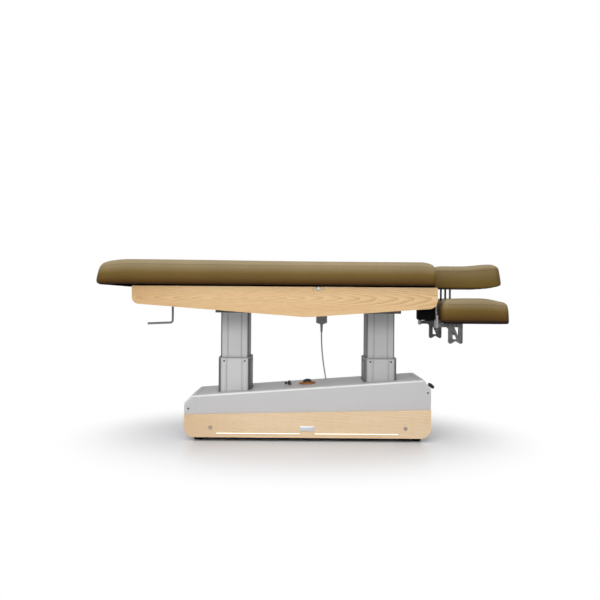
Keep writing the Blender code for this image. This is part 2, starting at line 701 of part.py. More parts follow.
def add_columns(alloy, plastic, steel):
    """Each column: fixed outer tube, middle tube with collar, inner tube, spindle drive and bracket."""
    step = COLUMN_STEP
    outer_top = cover_top(COLUMN_FOOT_X - COLUMN_WIDTH / 2 - 2 * step) - COVER_WALL - COLUMN_OUTER_GAP
    for end, x in COLUMN_XS.items():
        add_node(f"column_outer_{end}", tube(x, COVER_BOTTOM, outer_top, 2 * step), alloy)
        middle_bottom = COLUMN_MIDDLE_TOP - COLUMN_MIDDLE_LENGTH
        shoe = 2 * step - COLUMN_WALL - GLIDE
        middle = tube(x, middle_bottom, COLUMN_MIDDLE_TOP, step, shoe)
        add_node(f"column_middle_{end}", middle, alloy, (x, 0.0, middle_bottom))
        collar_bottom = COLUMN_MIDDLE_TOP + FIT
        collar_top = collar_bottom + COLLAR_HEIGHT
        ring = [(step, collar_bottom), (step, collar_top), (GLIDE, collar_top), (GLIDE, collar_bottom)]
        collar = stack([column_loop(x, grow, z, 0.0) for grow, z in ring], closed=True)
        add_node(f"column_collar_{end}", collar, plastic, (x, 0.0, middle_bottom))
        inner_top = BRACKET_BOTTOM - FIT
        inner_bottom = inner_top - COLUMN_INNER_LENGTH
        inner = tube(x, inner_bottom, inner_top, 0.0, step - COLUMN_WALL - GLIDE)
        add_node(f"column_inner_{end}", inner, alloy, (x, 0.0, inner_bottom))
        motor, spindle = DRIVE_MOTOR_DIAMETER / 2, DRIVE_SPINDLE_DIAMETER / 2
        profile = [(motor, 0.0), (motor, DRIVE_MOTOR_HEIGHT), (spindle, DRIVE_MOTOR_HEIGHT)]
        profile.append((spindle, DRIVE_LENGTH))
        drive = lathe(profile, (x, 0.0, COVER_BOTTOM), sides=16)
        add_node(f"column_drive_{end}", drive, steel, smooth=True)
        half = BRACKET_LENGTH / 2
        add_node(f"column_bracket_{end}", prism(bracket_outline(), "X", x - half, x + half), steel)


# Foot controls

def add_foot_controls(copper, plastic):
    """Foot disc with its button on the sloping cover, a toe lever beside it and a lever at the end."""
    up = Vector((-math.sin(COVER_TILT), 0.0, math.cos(COVER_TILT)))
    seat = Vector((DISC_X, 0.0, cover_top(DISC_X))) + up * FIT
    outer, bore = DISC_DIAMETER / 2, DISC_BORE / 2
    profile = [(outer, 0.0), (outer, 0.4 * DISC_HEIGHT), (0.88 * outer, DISC_HEIGHT)]
    profile += [(bore, DISC_HEIGHT), (bore, DISC_FLOOR)]
    add_node("foot_disc", lathe(profile, seat, up, 32), copper, smooth=True)
    radius = bore - BUTTON_PLAY
    low = DISC_FLOOR + BUTTON_TRAVEL + BUTTON_PLAY
    profile = [(radius, low), (radius, DISC_HEIGHT)]
    for share in (0.45, 0.75, 0.95):
        profile.append((radius * math.sqrt(1 - share ** 2), DISC_HEIGHT + BUTTON_DOME * share))
    add_node("foot_button", lathe(profile, seat, up, 32), plastic, tuple(seat), smooth=True)

    seat = Vector((TOE_LEVER_X, 0.0, cover_top(TOE_LEVER_X))) + up * FIT
    radius = TOE_LEVER_CONE_DIAMETER / 2
    profile = [(radius, 0.0), (0.9 * radius, 0.2 * TOE_LEVER_CONE_HEIGHT)]
    profile += [(0.55 * radius, TOE_LEVER_CONE_HEIGHT)]
    toe = add_node("toe_lever", lathe(profile, seat, up, 20), plastic, tuple(seat), smooth=True)
    knob = TOE_LEVER_KNOB_DIAMETER / 2
    along = Vector((-math.cos(COVER_TILT), 0.0, -math.sin(COVER_TILT)))
    stem = seat + up * (0.45 * TOE_LEVER_CONE_HEIGHT)
    profile = [(0.5 * knob, 0.0), (0.5 * knob, TOE_LEVER_REACH - 2 * knob), (knob, TOE_LEVER_REACH - knob)]
    profile += [(knob, TOE_LEVER_REACH), (0.6 * knob, TOE_LEVER_REACH + 0.4 * knob)]
    combine(toe, lathe(profile, stem, along, 16), "UNION")

    pivot = Vector((BASE_HEAD_X + FIT, END_LEVER_Y, COVER_HEAD_SHOULDER - END_LEVER_BELOW_SHOULDER))
    out = Vector((1.0, 0.0, 0.0))
    boss = END_LEVER_BOSS_DIAMETER / 2
    profile = [(boss, 0.0), (boss, 0.8 * END_LEVER_BOSS_LENGTH), (0.8 * boss, END_LEVER_BOSS_LENGTH)]
    lever = add_node("end_lever", lathe(profile, pivot, out), plastic, tuple(pivot), smooth=True)
    half = 0.5 * boss
    y0, z0 = END_LEVER_Y, pivot.z
    arm = rounded([
        (y0 - half, z0 - half, 0.0),
        (y0 + half, z0 - half, 0.0),
        (y0 + half, z0 + END_LEVER_RISE, 0.8 * half),
        (y0 - half, z0 + END_LEVER_RISE, 0.8 * half),
    ], 3)
    arm_start = BASE_HEAD_X + 0.4 * END_LEVER_BOSS_LENGTH
    combine(lever, prism(arm, "X", arm_start, BASE_HEAD_X + 0.9 * END_LEVER_BOSS_LENGTH), "UNION")
    knob = END_LEVER_KNOB_DIAMETER / 2
    length = END_LEVER_KNOB_LENGTH
    profile = [(0.6 * knob, 0.0), (knob, 0.25 * length), (knob, 0.8 * length), (0.7 * knob, length)]
    grip = pivot + Vector((0.6 * END_LEVER_BOSS_LENGTH, 0.0, END_LEVER_RISE - half))
    droop = Vector((math.cos(END_LEVER_DROOP), 0.0, -math.sin(END_LEVER_DROOP)))
    combine(lever, lathe(profile, grip, droop), "UNION")


# Top frame

def add_rails(wood):
    """Wooden side rails with a shallow V lower edge, bored for the back pivot."""
    x0, x1 = RAIL_FOOT_X, RAIL_HEAD_X
    outline = rounded([
        (x0, RAIL_TOP - RAIL_FOOT_HEIGHT, RAIL_FOOT_RADIUS),
        (x0 + RAIL_APEX_FROM_FOOT, RAIL_TOP - RAIL_APEX_HEIGHT, RAIL_APEX_RADIUS),
        (x1, RAIL_TOP - RAIL_HEAD_HEIGHT, RAIL_HEAD_RADIUS),
        (x1, RAIL_TOP, RAIL_TOP_RADIUS),
        (x0, RAIL_TOP, RAIL_TOP_RADIUS),
    ], 6)
    outside = RAIL_OUTSIDE / 2
    for name, side in SIDES.items():
        rail = add_node(f"rail_{name}", prism(outline, "Y", side * RAIL_INSIDE, side * outside), wood)
        start = (HINGE_X, side * (RAIL_INSIDE - RAIL_THICK), HINGE_Z)
        end = (HINGE_X, side * (outside + RAIL_THICK), HINGE_Z)
        combine(rail, rod(start, end, PIVOT_DIAMETER + BORE_PLAY), "DIFFERENCE")


def add_platforms(board):
    """Leg board on the rails and back board that tips up with the back section."""
    half = RAIL_INSIDE - FIT
    foot = MATTRESS_FOOT_X + PLATFORM_FOOT_SETBACK
    end = HINGE_X - PLATFORM_HINGE_GAP
    corner = MATTRESS_CORNER / 2
    leg = rounded([(foot, -half, corner), (end, -half, 0.0), (end, half, 0.0), (foot, half, corner)])
    add_node("leg_platform", prism(leg, "Z", PLATFORM_BOTTOM, PLATFORM_TOP), board)
    start = HINGE_X + PLATFORM_HINGE_GAP
    back = rectangle(start, CARRIER_HEAD_X, -BACK_HALF, BACK_HALF)
    pivot = (HINGE_X, 0.0, HINGE_Z)
    add_node("back_platform", prism(back, "Z", PLATFORM_BOTTOM, PLATFORM_TOP), board, pivot)


def add_pivots(steel, dark):
    """Side plates that hinge the back section, and the bolts that carry them through the rails."""
    nose = HINGE_NOSE_RADIUS
    low = PLATFORM_TOP - HINGE_PLATE_HEIGHT
    outline = rounded([
        (HINGE_X - nose, HINGE_Z - nose, 0.98 * nose),
        (HINGE_X + nose, HINGE_Z - nose, 0.0),
        (HINGE_X + HINGE_PLATE_HEIGHT, low, nose),
        (HINGE_X + HINGE_PLATE_LENGTH, low, nose),
        (HINGE_X + HINGE_PLATE_LENGTH, HINGE_Z + nose, 0.3 * nose),
        (HINGE_X - nose, HINGE_Z + nose, 0.98 * nose),
    ])
    pivot = (HINGE_X, 0.0, HINGE_Z)
    inner = BACK_HALF + FIT
    outer = inner + HINGE_PLATE_THICK
    for name, side in SIDES.items():
        body = prism(outline, "Y", side * inner, side * outer)
        plate = add_node(f"hinge_plate_{name}", body, steel, pivot)
        start = (HINGE_X, side * (inner - HINGE_PLATE_THICK), HINGE_Z)
        end = (HINGE_X, side * (outer + HINGE_PLATE_THICK), HINGE_Z)
        combine(plate, rod(start, end, PIVOT_DIAMETER + BORE_PLAY), "DIFFERENCE")
        shank, head = PIVOT_DIAMETER / 2, PIVOT_HEAD_DIAMETER / 2
        nut = 0.9 * nose
        inside = inner - FIT - PIVOT_NUT_THICK
        seat = RAIL_OUTSIDE / 2 + FIT - inside
        profile = [(nut, 0.0), (nut, PIVOT_NUT_THICK), (shank, PIVOT_NUT_THICK), (shank, seat)]
        profile += [(head, seat), (head, seat + 0.6 * PIVOT_HEAD_THICK)]
        profile += [(0.75 * head, seat + PIVOT_HEAD_THICK)]
        bolt = lathe(profile, (HINGE_X, side * inside, HINGE_Z), (0.0, side, 0.0), 16)
        add_node(f"pivot_bolt_{name}", bolt, dark, pivot, smooth=True)


def add_actuator(dark, steel):
    """Linear actuator under the leg board: body, sliding rod with its fork and pin, slotted lever."""
    half_w, half_h = ACTUATOR_BODY_WIDTH / 2, ACTUATOR_BODY_HEIGHT / 2
    front = PIN_X - ACTUATOR_ROD_SHOWN
    rear = front - ACTUATOR_BODY_LENGTH
    outline = rectangle(-half_w, half_w, PIN_Z - half_h, PIN_Z + half_h, 0.3 * half_w)
    body = add_node("actuator_body", prism(outline, "X", rear, front), dark)
    middle = (rear + front) / 2
    reach = ACTUATOR_BODY_LENGTH / 4
    top = PLATFORM_BOTTOM - FIT
    combine(body, box(middle - reach, middle + reach, -half_w / 2, half_w / 2, PIN_Z, top), "UNION")
    depth = ACTUATOR_ROD_INSIDE + RUN_GAP
    bore = ACTUATOR_ROD_DIAMETER + BORE_PLAY
    combine(body, rod((front - depth, 0.0, PIN_Z), (front + depth, 0.0, PIN_Z), bore), "DIFFERENCE")

    origin = (PIN_X, 0.0, PIN_Z)
    start = (front - ACTUATOR_ROD_INSIDE, 0.0, PIN_Z)
    root = PIN_X - ACTUATOR_FORK_THROAT
    end = (root - ACTUATOR_FORK_ROOT / 2, 0.0, PIN_Z)
    slider = add_node("actuator_rod", rod(start, end, ACTUATOR_ROD_DIAMETER), steel, origin, smooth=True)
    inner = LEVER_THICK / 2 + GLIDE * 2
    outer = inner + ACTUATOR_FORK_CHEEK
    radius = ACTUATOR_FORK_RADIUS
    fork = rounded([
        (root - ACTUATOR_FORK_ROOT, PIN_Z - radius, 0.0),
        (PIN_X + radius, PIN_Z - radius, 0.95 * radius),
        (PIN_X + radius, PIN_Z + radius, 0.95 * radius),
        (root - ACTUATOR_FORK_ROOT, PIN_Z + radius, 0.0),
    ])
    combine(slider, prism(fork, "Y", -outer, outer), "UNION")
    gap = box(root, PIN_X + 2 * radius, -inner, inner, PIN_Z - 2 * radius, PIN_Z + 2 * radius)
    combine(slider, gap, "DIFFERENCE")
    pin = rod((PIN_X, -outer - GLIDE, PIN_Z), (PIN_X, outer + GLIDE, PIN_Z), ACTUATOR_PIN_DIAMETER)
    combine(slider, pin, "UNION")

    lean = BACK_TILT_MAX / 2
    axis = Vector((HINGE_X, HINGE_Z))
    down = Vector((-math.sin(lean), -math.cos(lean)))
    across = Vector((math.cos(lean), -math.sin(lean)))
    slot_half = ACTUATOR_PIN_DIAMETER / 2 + LEVER_SLOT_PLAY
    far = ACTUATOR_BELOW_HINGE / math.cos(lean) + LEVER_SLOT_PLAY
    close = ACTUATOR_BELOW_HINGE - LEVER_SLOT_PLAY
    width = slot_half + LEVER_RIM

    def strip(start_r, end_r, half, radius):
        corners = [(start_r, -half), (end_r, -half), (end_r, half), (start_r, half)]
        places = [axis + down * r + across * w for r, w in corners]
        return rounded([(place.x, place.y, radius) for place in places])

    neck_left = axis + down * LEVER_NECK - across * width
    neck_right = axis + down * LEVER_NECK + across * width
    tip_left = axis + down * (far + width) - across * width
    tip_right = axis + down * (far + width) + across * width
    root_x = HINGE_X + LEVER_ROOT_START
    outline = rounded([
        (root_x, top, 0.0),
        (neck_left.x, neck_left.y, width),
        (tip_left.x, tip_left.y, 0.95 * width),
        (tip_right.x, tip_right.y, 0.95 * width),
        (neck_right.x, neck_right.y, width),
        (root_x + LEVER_ROOT_LENGTH, top, 0.0),
    ])
    half = LEVER_THICK / 2
    lever = add_node("back_lever", prism(outline, "Y", -half, half), steel, (HINGE_X, 0.0, HINGE_Z))
    slot = strip(close - slot_half, far + slot_half, slot_half, 0.95 * slot_half)
    combine(lever, prism(slot, "Y", -LEVER_THICK, LEVER_THICK), "DIFFERENCE")


def add_release_lever(steel, dark):
    """Bent release lever that swings in a small fork under the leg board."""
    half = RELEASE_DIAMETER / 2
    inner, outer = half + FIT, half + FIT + RELEASE_CHEEK
    eye = RELEASE_EYE_RADIUS
    top = PLATFORM_BOTTOM - FIT
    shelf = RELEASE_Z + eye + RUN_GAP
    low = RELEASE_Z - eye
    right = [(outer, low), (outer, top)]
    outline = [(-inner, low), (-inner, shelf), (inner, shelf), (inner, low)]
    outline += right + [(-u, v) for u, v in reversed(right)]
    places = [(RELEASE_Y + u, v) for u, v in outline]
    fork = prism(places, "X", RELEASE_X - eye, RELEASE_X + eye)
    fork = add_node("release_fork", fork, dark)
    start = (RELEASE_X, RELEASE_Y - 2 * outer, RELEASE_Z)
    end = (RELEASE_X, RELEASE_Y + 2 * outer, RELEASE_Z)
    combine(fork, rod(start, end, RELEASE_PIN_DIAMETER + BORE_PLAY), "DIFFERENCE")

    corner = Vector((RELEASE_X, RELEASE_Z - RELEASE_DROP))
    droop = Vector((-math.cos(RELEASE_DROOP), -math.sin(RELEASE_DROOP)))
    tip = corner + droop * RELEASE_REACH
    path = rounded([(RELEASE_X, RELEASE_Z - half, 0.0), (*corner, RELEASE_BEND), (*tip, 0.0)], 6)
    loops = []
    sides = 12
    for index, (u, v) in enumerate(path):
        before = Vector(path[max(index - 1, 0)])
        after = Vector(path[min(index + 1, len(path) - 1)])
        along = (after - before).normalized()
        normal = Vector((-along.y, along.x))
        ring = []
        for k in range(sides):
            angle = 2 * math.pi * k / sides
            flat = Vector((u, v)) + normal * (half * math.cos(angle))
            ring.append((flat.x, RELEASE_Y + half * math.sin(angle), flat.y))
        loops.append(ring)
    pivot = (RELEASE_X, RELEASE_Y, RELEASE_Z)
    lever = add_node("release_lever", stack(loops), steel, pivot, smooth=True)
    start = (RELEASE_X, RELEASE_Y - half, RELEASE_Z)
    end = (RELEASE_X, RELEASE_Y + half, RELEASE_Z)
    combine(lever, rod(start, end, 2 * eye, 24), "UNION")
    start = (RELEASE_X, RELEASE_Y - outer - GLIDE, RELEASE_Z)
    end = (RELEASE_X, RELEASE_Y + outer + GLIDE, RELEASE_Z)
    combine(lever, rod(start, end, RELEASE_PIN_DIAMETER), "UNION")


# Junction box and hanging cable

def smooth_route(route, count):
    """Evenly spaced points on a Catmull-Rom curve through the route's own points."""
    knots = [Vector(point) for point in route]
    knots = [2 * knots[0] - knots[1]] + knots + [2 * knots[-1] - knots[-2]]
    dense = []
    fine = 24
    for a, b, c, d in zip(knots, knots[1:], knots[2:], knots[3:]):
        for k in range(fine):
            t = k / fine
            curve = 2 * b + (c - a) * t + (2 * a - 5 * b + 4 * c - d) * t ** 2
            dense.append((curve + (3 * b - a - 3 * c + d) * t ** 3) / 2)
    dense.append(knots[-2])
    lengths = [0.0]
    for before, after in zip(dense, dense[1:]):
        lengths.append(lengths[-1] + (after - before).length)
    points = []
    index = 0
    for k in range(count):
        goal = lengths[-1] * k / (count - 1)
        while index < len(lengths) - 2 and lengths[index + 1] < goal:
            index += 1
        share = (goal - lengths[index]) / (lengths[index + 1] - lengths[index])
        points.append(dense[index].lerp(dense[index + 1], min(share, 1.0)))
    return points


def add_junction(plastic, rubber):
    """Junction box on the far rail with its tapered strain relief, and the gland in the base cover."""
    half = JUNCTION_WIDTH / 2
    corner = 0.12 * half
    outline = rounded([
        (JUNCTION_X - half, JUNCTION_TOP, corner),
        (JUNCTION_X - half, JUNCTION_SHOULDER, corner),
        (JUNCTION_X, JUNCTION_TIP, corner),
        (JUNCTION_X + half, JUNCTION_SHOULDER, corner),
        (JUNCTION_X + half, JUNCTION_TOP, corner),
    ], 3)
    depth = JUNCTION_DEPTH / 2
    junction = prism(outline, "Y", JUNCTION_Y - depth, JUNCTION_Y + depth)
    junction = add_node("junction_box", junction, plastic)
    top, tip = RELIEF_TOP_DIAMETER / 2, RELIEF_TIP_DIAMETER / 2
    length = JUNCTION_SHOULDER - RELIEF_BOTTOM
    profile = [(tip, 0.0), (0.5 * (tip + top), 0.5 * length), (top, 0.75 * length), (top, length)]
    combine(junction, lathe(profile, (JUNCTION_X, JUNCTION_Y, RELIEF_BOTTOM), sides=16), "UNION")
    radius = GLAND_DIAMETER / 2
    profile = [(radius, 0.0), (radius, 0.45 * GLAND_LENGTH), (0.75 * radius, 0.55 * GLAND_LENGTH)]
    profile += [(0.5 * radius, GLAND_LENGTH)]
    gland = lathe(profile, (GLAND_X, COVER_HALF + FIT, GLAND_Z), (0.0, 1.0, 0.0), 16)
    add_node("base_gland", gland, rubber, smooth=True)


def add_cable(rubber):
    """Grey cable that hangs from the junction box behind the base and turns into the gland."""
    start = (JUNCTION_X, JUNCTION_Y, RELIEF_BOTTOM - FIT)
    end = (GLAND_X, COVER_HALF + GLAND_LENGTH + 2 * FIT, GLAND_Z)
    route = [
        start,
        (JUNCTION_X, JUNCTION_Y, 0.570),
        (0.1168, 0.2962, 0.535),
        (0.1210, 0.3010, 0.470),
        (0.1290, 0.3065, 0.400),
        (0.1390, 0.3105, 0.335),
        (0.1465, 0.3115, 0.290),
        (0.1495, 0.3095, 0.256),
        (GLAND_X, 0.2985, 0.2285),
        (GLAND_X, 0.2800, 0.2160),
        (GLAND_X, 0.2640, GLAND_Z),
        end,
    ]
    curve = bpy.data.curves.new("cable", "CURVE")
    curve.dimensions = "3D"
    curve.bevel_depth = CABLE_DIAMETER / 2
    curve.bevel_resolution = 3
    curve.use_fill_caps = True
    points = smooth_route(route, CABLE_POINTS)
    spline = curve.splines.new("POLY")
    spline.points.add(len(points) - 1)
    for place, point in zip(spline.points, points):
        place.co = (*point, 1.0)
    curve.materials.append(rubber)
    bpy.context.scene.collection.objects.link(bpy.data.objects.new("cable", curve))


# Head section

def add_head_carrier(dark, steel):
    """Black beam with its near-side box under the back board, and the plate that guides the posts."""
    pivot = (HINGE_X, 0.0, HINGE_Z)
    half, wall = CARRIER_HALF_DEPTH, CARRIER_WALL
    x0, x1 = CARRIER_HEAD_X - CARRIER_LENGTH, CARRIER_HEAD_X
    top = PLATFORM_BOTTOM - FIT
    carrier = add_node("head_carrier", box(x0, x1, -half, half, BEAM_BOTTOM, top), dark, pivot)
    outline = rounded([
        (x0, CARRIER_BOTTOM, 4 * wall),
        (x1, CARRIER_BOTTOM, 4 * wall),
        (x1, BEAM_BOTTOM + wall, 0.0),
        (x0, BEAM_BOTTOM + wall, 0.0),
    ])
    inside = CARRIER_BOX_DEPTH - half
    combine(carrier, prism(outline, "Y", -half, inside), "UNION")
    beam_hollow = box(x0 + wall, x1 - wall, wall - half, half - wall, BEAM_BOTTOM + wall, top + wall)
    combine(carrier, beam_hollow, "DIFFERENCE")
    low = CARRIER_BOTTOM + 5 * wall
    box_hollow = box(x0 + wall, x1 - wall, wall - half, inside - wall, low, top + wall)
    combine(carrier, box_hollow, "DIFFERENCE")

    low = ARM_BRACKET_TOP - ARM_BRACKET_BAR - MOUNT_FOOT_MARGIN
    step = ARM_BRACKET_TOP + MOUNT_FOOT_RISE
    wide = ARM_BRACKET_Y + ARM_BRACKET_WIDTH / 2 + MOUNT_FOOT_MARGIN
    high = TONGUE_TOP + MOUNT_PLATE_RISE
    narrow = MOUNT_PLATE_HALF
    leg = wide - MOUNT_LEG_WIDTH
    right = [(leg, CARRIER_BOTTOM, 0.0), (leg, low, 0.0), (wide, low, 0.0), (wide, step, 0.0)]
    right += [(narrow, step, 0.0), (narrow, high, 4 * wall)]
    outline = rounded(right + [(-u, v, r) for u, v, r in reversed(right)])
    mount = add_node("head_mount", prism(outline, "X", MOUNT_X, MOUNT_HEAD_X), steel, pivot)
    tongue_half = POST_SPREAD + MOUNT_TONGUE_MARGIN
    inside = MOUNT_HEAD_X - MOUNT_PLATE_THICK / 2
    bottom = TONGUE_TOP - MOUNT_TONGUE_THICK
    tongue = box(inside, POST_X + POST_EDGE, -tongue_half, tongue_half, bottom, TONGUE_TOP)
    combine(mount, tongue, "UNION")
    for y in (-POST_SPREAD, 0.0, POST_SPREAD):
        start = (POST_X, y, bottom - MOUNT_TONGUE_THICK)
        end = (POST_X, y, TONGUE_TOP + MOUNT_TONGUE_THICK)
        combine(mount, rod(start, end, POST_DIAMETER + BORE_PLAY), "DIFFERENCE")


def hole_point(u, v, half_u, half_v):
    """The point of an oval, with these half sizes, in the direction of a plan point."""
    angle = math.atan2(v / (HEAD_DEPTH / 2), u / (HEAD_LENGTH / 2))
    return half_u * math.cos(angle), half_v * math.sin(angle)


def face_cushion():
    """A pad like a rounded ring: crowned top, oval hole, and a bottom that rises past the board."""
    x0, x1 = HEAD_X, HEAD_X + HEAD_LENGTH
    half = HEAD_DEPTH / 2
    hole_x = HEAD_X + HEAD_HOLE_FROM_INNER
    length, width, edge = HEAD_HOLE_LENGTH / 2, HEAD_HOLE_WIDTH / 2, HEAD_HOLE_EDGE
    loops = []
    steps = (4, 4)

    def lift(x, up):
        slope = HEAD_RISE * ((x - x0) / HEAD_LENGTH - 0.5)
        past = max(0.0, 1.0 - (x1 - x) / HEAD_BOARD_OUTER_INSET)
        heel = HEAD_HEEL_RISE * past ** 1.5
        share = up / HEAD_THICK
        return HEAD_BOTTOM + up + slope * share + heel * max(0.0, 1.0 - share)

    for inset, up in edge_rings(HEAD_THICK, HEAD_EDGE):
        outline = pad_outline(x0, x1, -half, half, HEAD_CORNER, HEAD_DRAW_IN, inset, steps)
        loops.append([(u, v, lift(u, up)) for u, v in outline])
    last = pad_outline(x0, x1, -half, half, HEAD_CORNER, HEAD_DRAW_IN, HEAD_EDGE, steps)
    rings = [(edge * 0.5, HEAD_THICK), (0.12 * edge, HEAD_THICK - 0.35 * edge), (0.0, HEAD_THICK - edge)]
    rings += [(0.0, 0.4 * edge), (0.4 * edge, 0.0)]
    middle = []
    for u, v in last:
        hu, hv = hole_point(u - hole_x, v, length + edge, width + edge)
        middle.append(((u + hole_x + hu) / 2, (v + hv) / 2, lift(u, HEAD_THICK + HEAD_CROWN)))
    loops.append(middle)
    for grow, up in rings:
        ring = []
        for u, v in last:
            hu, hv = hole_point(u - hole_x, v, length + grow, width + grow)
            ring.append((hole_x + hu, hv, lift(hole_x + hu, up)))
        loops.append(ring)
    return stack(loops, closed=True)


def add_head_rest(leather, steel):
    """Face cushion with a board let into its underside, carried by three posts."""
    origin = (POST_X, 0.0, TONGUE_TOP)
    cushion_node = add_node("head_cushion", face_cushion(), leather, origin, smooth=True)
    inset = HEAD_BOARD_INSET
    x0, x1 = HEAD_X + inset, HEAD_X + HEAD_LENGTH - HEAD_BOARD_OUTER_INSET
    half = HEAD_DEPTH / 2 - inset
    corner = HEAD_CORNER / 2
    outline = rectangle(x0, x1, -half, half, corner)
    top = HEAD_BOARD_BOTTOM + HEAD_BOARD_THICK
    pocket = rectangle(x0 - FIT, x1 + FIT, -half - FIT, half + FIT, corner)
    combine(cushion_node, prism(pocket, "Z", HEAD_BOARD_BOTTOM - FIT, top + FIT), "DIFFERENCE")
    board = add_node("head_support", prism(outline, "Z", HEAD_BOARD_BOTTOM, top), steel, origin)
    length = HEAD_HOLE_LENGTH / 2 + HEAD_HOLE_BOARD_GAP
    width = HEAD_HOLE_WIDTH / 2 + HEAD_HOLE_BOARD_GAP
    hole_x = HEAD_X + HEAD_HOLE_FROM_INNER
    angles = [2 * math.pi * k / 32 for k in range(32)]
    hole = [(hole_x + length * math.cos(a), width * math.sin(a)) for a in angles]
    below, above = HEAD_BOARD_BOTTOM - HEAD_BOARD_THICK, top + HEAD_BOARD_THICK
    combine(board, prism(hole, "Z", below, above), "DIFFERENCE")
    for y in (-POST_SPREAD, 0.0, POST_SPREAD):
        high = HEAD_BOARD_BOTTOM + HEAD_BOARD_THICK / 2
        foot = (POST_X, y, HEAD_BOARD_BOTTOM - POST_LENGTH)
        combine(board, rod(foot, (POST_X, y, high), POST_DIAMETER), "UNION")


# Arm pads

def bracket_side_outline():
    """Side outline of an arm bracket: bar to the mount plate, two legs with pointed feet, arched web."""
    first, last = ARM_ROD_XS
    half = ARM_BRACKET_WIDTH / 2
    top, feet = ARM_BRACKET_TOP, ARM_BRACKET_FEET
    point = feet - ARM_BRACKET_POINT
    arch = feet + ARM_BRACKET_BAR / 2
    return rounded([
        (MOUNT_HEAD_X + FIT, top - ARM_BRACKET_BAR, 0.0),
        (first - half - ARM_BRACKET_BAR / 2, top - ARM_BRACKET_BAR, 0.0),
        (first - half, top - 1.5 * ARM_BRACKET_BAR, 0.0),
        (first - half, feet, 0.0),
        (first, point, 0.0),
        (first + half, feet, 0.0),
        ((first + last) / 2, arch, 0.0),
        (last - half, feet, 0.0),
        (last, point, 0.0),
        (last + half, feet, 0.0),
        (last + half, top, 0.15 * half),
        (MOUNT_HEAD_X + FIT, top, 0.0),
    ], 3)


def add_arm(name, side, leather, alloy, plastic):
    """One arm pad with a board let into its underside, whose two rods slide in a bracket's legs."""
    first, last = ARM_ROD_XS
    half = ARM_BRACKET_WIDTH / 2
    y = side * ARM_BRACKET_Y
    pivot = (HINGE_X, 0.0, HINGE_Z)
    body = prism(bracket_side_outline(), "Y", y - half, y + half)
    bracket = add_node(f"arm_bracket_{name}", body, alloy, pivot)
    top = ARM_BRACKET_TOP - ARM_BRACKET_BAR
    low = ARM_BRACKET_FEET + ARM_BRACKET_BAR
    left, right = first + half, last - half
    web = 0.42 * half
    upper = [(left + 2 * web, top), (right, top), (right, low + 2 * web)]
    lower = [(left, top - 2 * web), (right - 2 * web, low), (left, low)]
    for window in (upper, lower):
        combine(bracket, prism(window, "Y", y - 2 * half, y + 2 * half), "DIFFERENCE")
    floor = ARM_BOARD_BOTTOM - ARM_ROD_LENGTH - RUN_GAP
    for x in ARM_ROD_XS:
        hole = rod((x, y, floor), (x, y, ARM_BRACKET_TOP + half), ARM_ROD_DIAMETER + BORE_PLAY)
        combine(bracket, hole, "DIFFERENCE")

    origin = (first, y, ARM_BOARD_BOTTOM)
    centre, depth = side * ARM_CENTRE_Y, ARM_DEPTH / 2
    x0, x1 = ARM_X, ARM_X + ARM_LENGTH
    pad = cushion(
        x0, x1, centre - depth, centre + depth, ARM_BOTTOM, ARM_THICK - ARM_CROWN,
        ARM_CORNER, ARM_EDGE, ARM_CROWN, ARM_DRAW_IN, (6, 4),
    )
    pad = add_node(f"arm_cushion_{name}", pad, leather, origin, smooth=True)
    x0, x1 = x0 + ARM_BOARD_INSET, x1 - ARM_BOARD_INSET
    y0, y1 = centre - depth + ARM_BOARD_INSET, centre + depth - ARM_BOARD_INSET
    corner = ARM_CORNER / 2
    outline = rectangle(x0, x1, y0, y1, corner)
    board_top = ARM_BOARD_BOTTOM + ARM_BOARD_THICK
    pocket = rectangle(x0 - FIT, x1 + FIT, y0 - FIT, y1 + FIT, corner)
    combine(pad, prism(pocket, "Z", ARM_BOARD_BOTTOM - FIT, board_top + FIT), "DIFFERENCE")
    board = add_node(f"arm_board_{name}", prism(outline, "Z", ARM_BOARD_BOTTOM, board_top), alloy, origin)
    for x in ARM_ROD_XS:
        high = ARM_BOARD_BOTTOM + ARM_BOARD_THICK / 2
        foot = (x, y, ARM_BOARD_BOTTOM - ARM_ROD_LENGTH)
        combine(board, rod(foot, (x, y, high), ARM_ROD_DIAMETER), "UNION")

    grip = KNOB_DIAMETER / 2
    inner = y - side * (half + FIT)
    seat = ((first + last) / 2, inner, (ARM_BRACKET_TOP + ARM_BRACKET_FEET) / 2)
    profile = [(0.5 * grip, 0.0), (0.5 * grip, 0.3 * KNOB_LENGTH), (grip, 0.4 * KNOB_LENGTH)]
    profile += [(grip, 0.9 * KNOB_LENGTH), (0.8 * grip, KNOB_LENGTH)]
    knob = lathe(profile, seat, (0.0, -side, 0.0), 16)
    add_node(f"arm_knob_{name}", knob, plastic, seat, smooth=True)


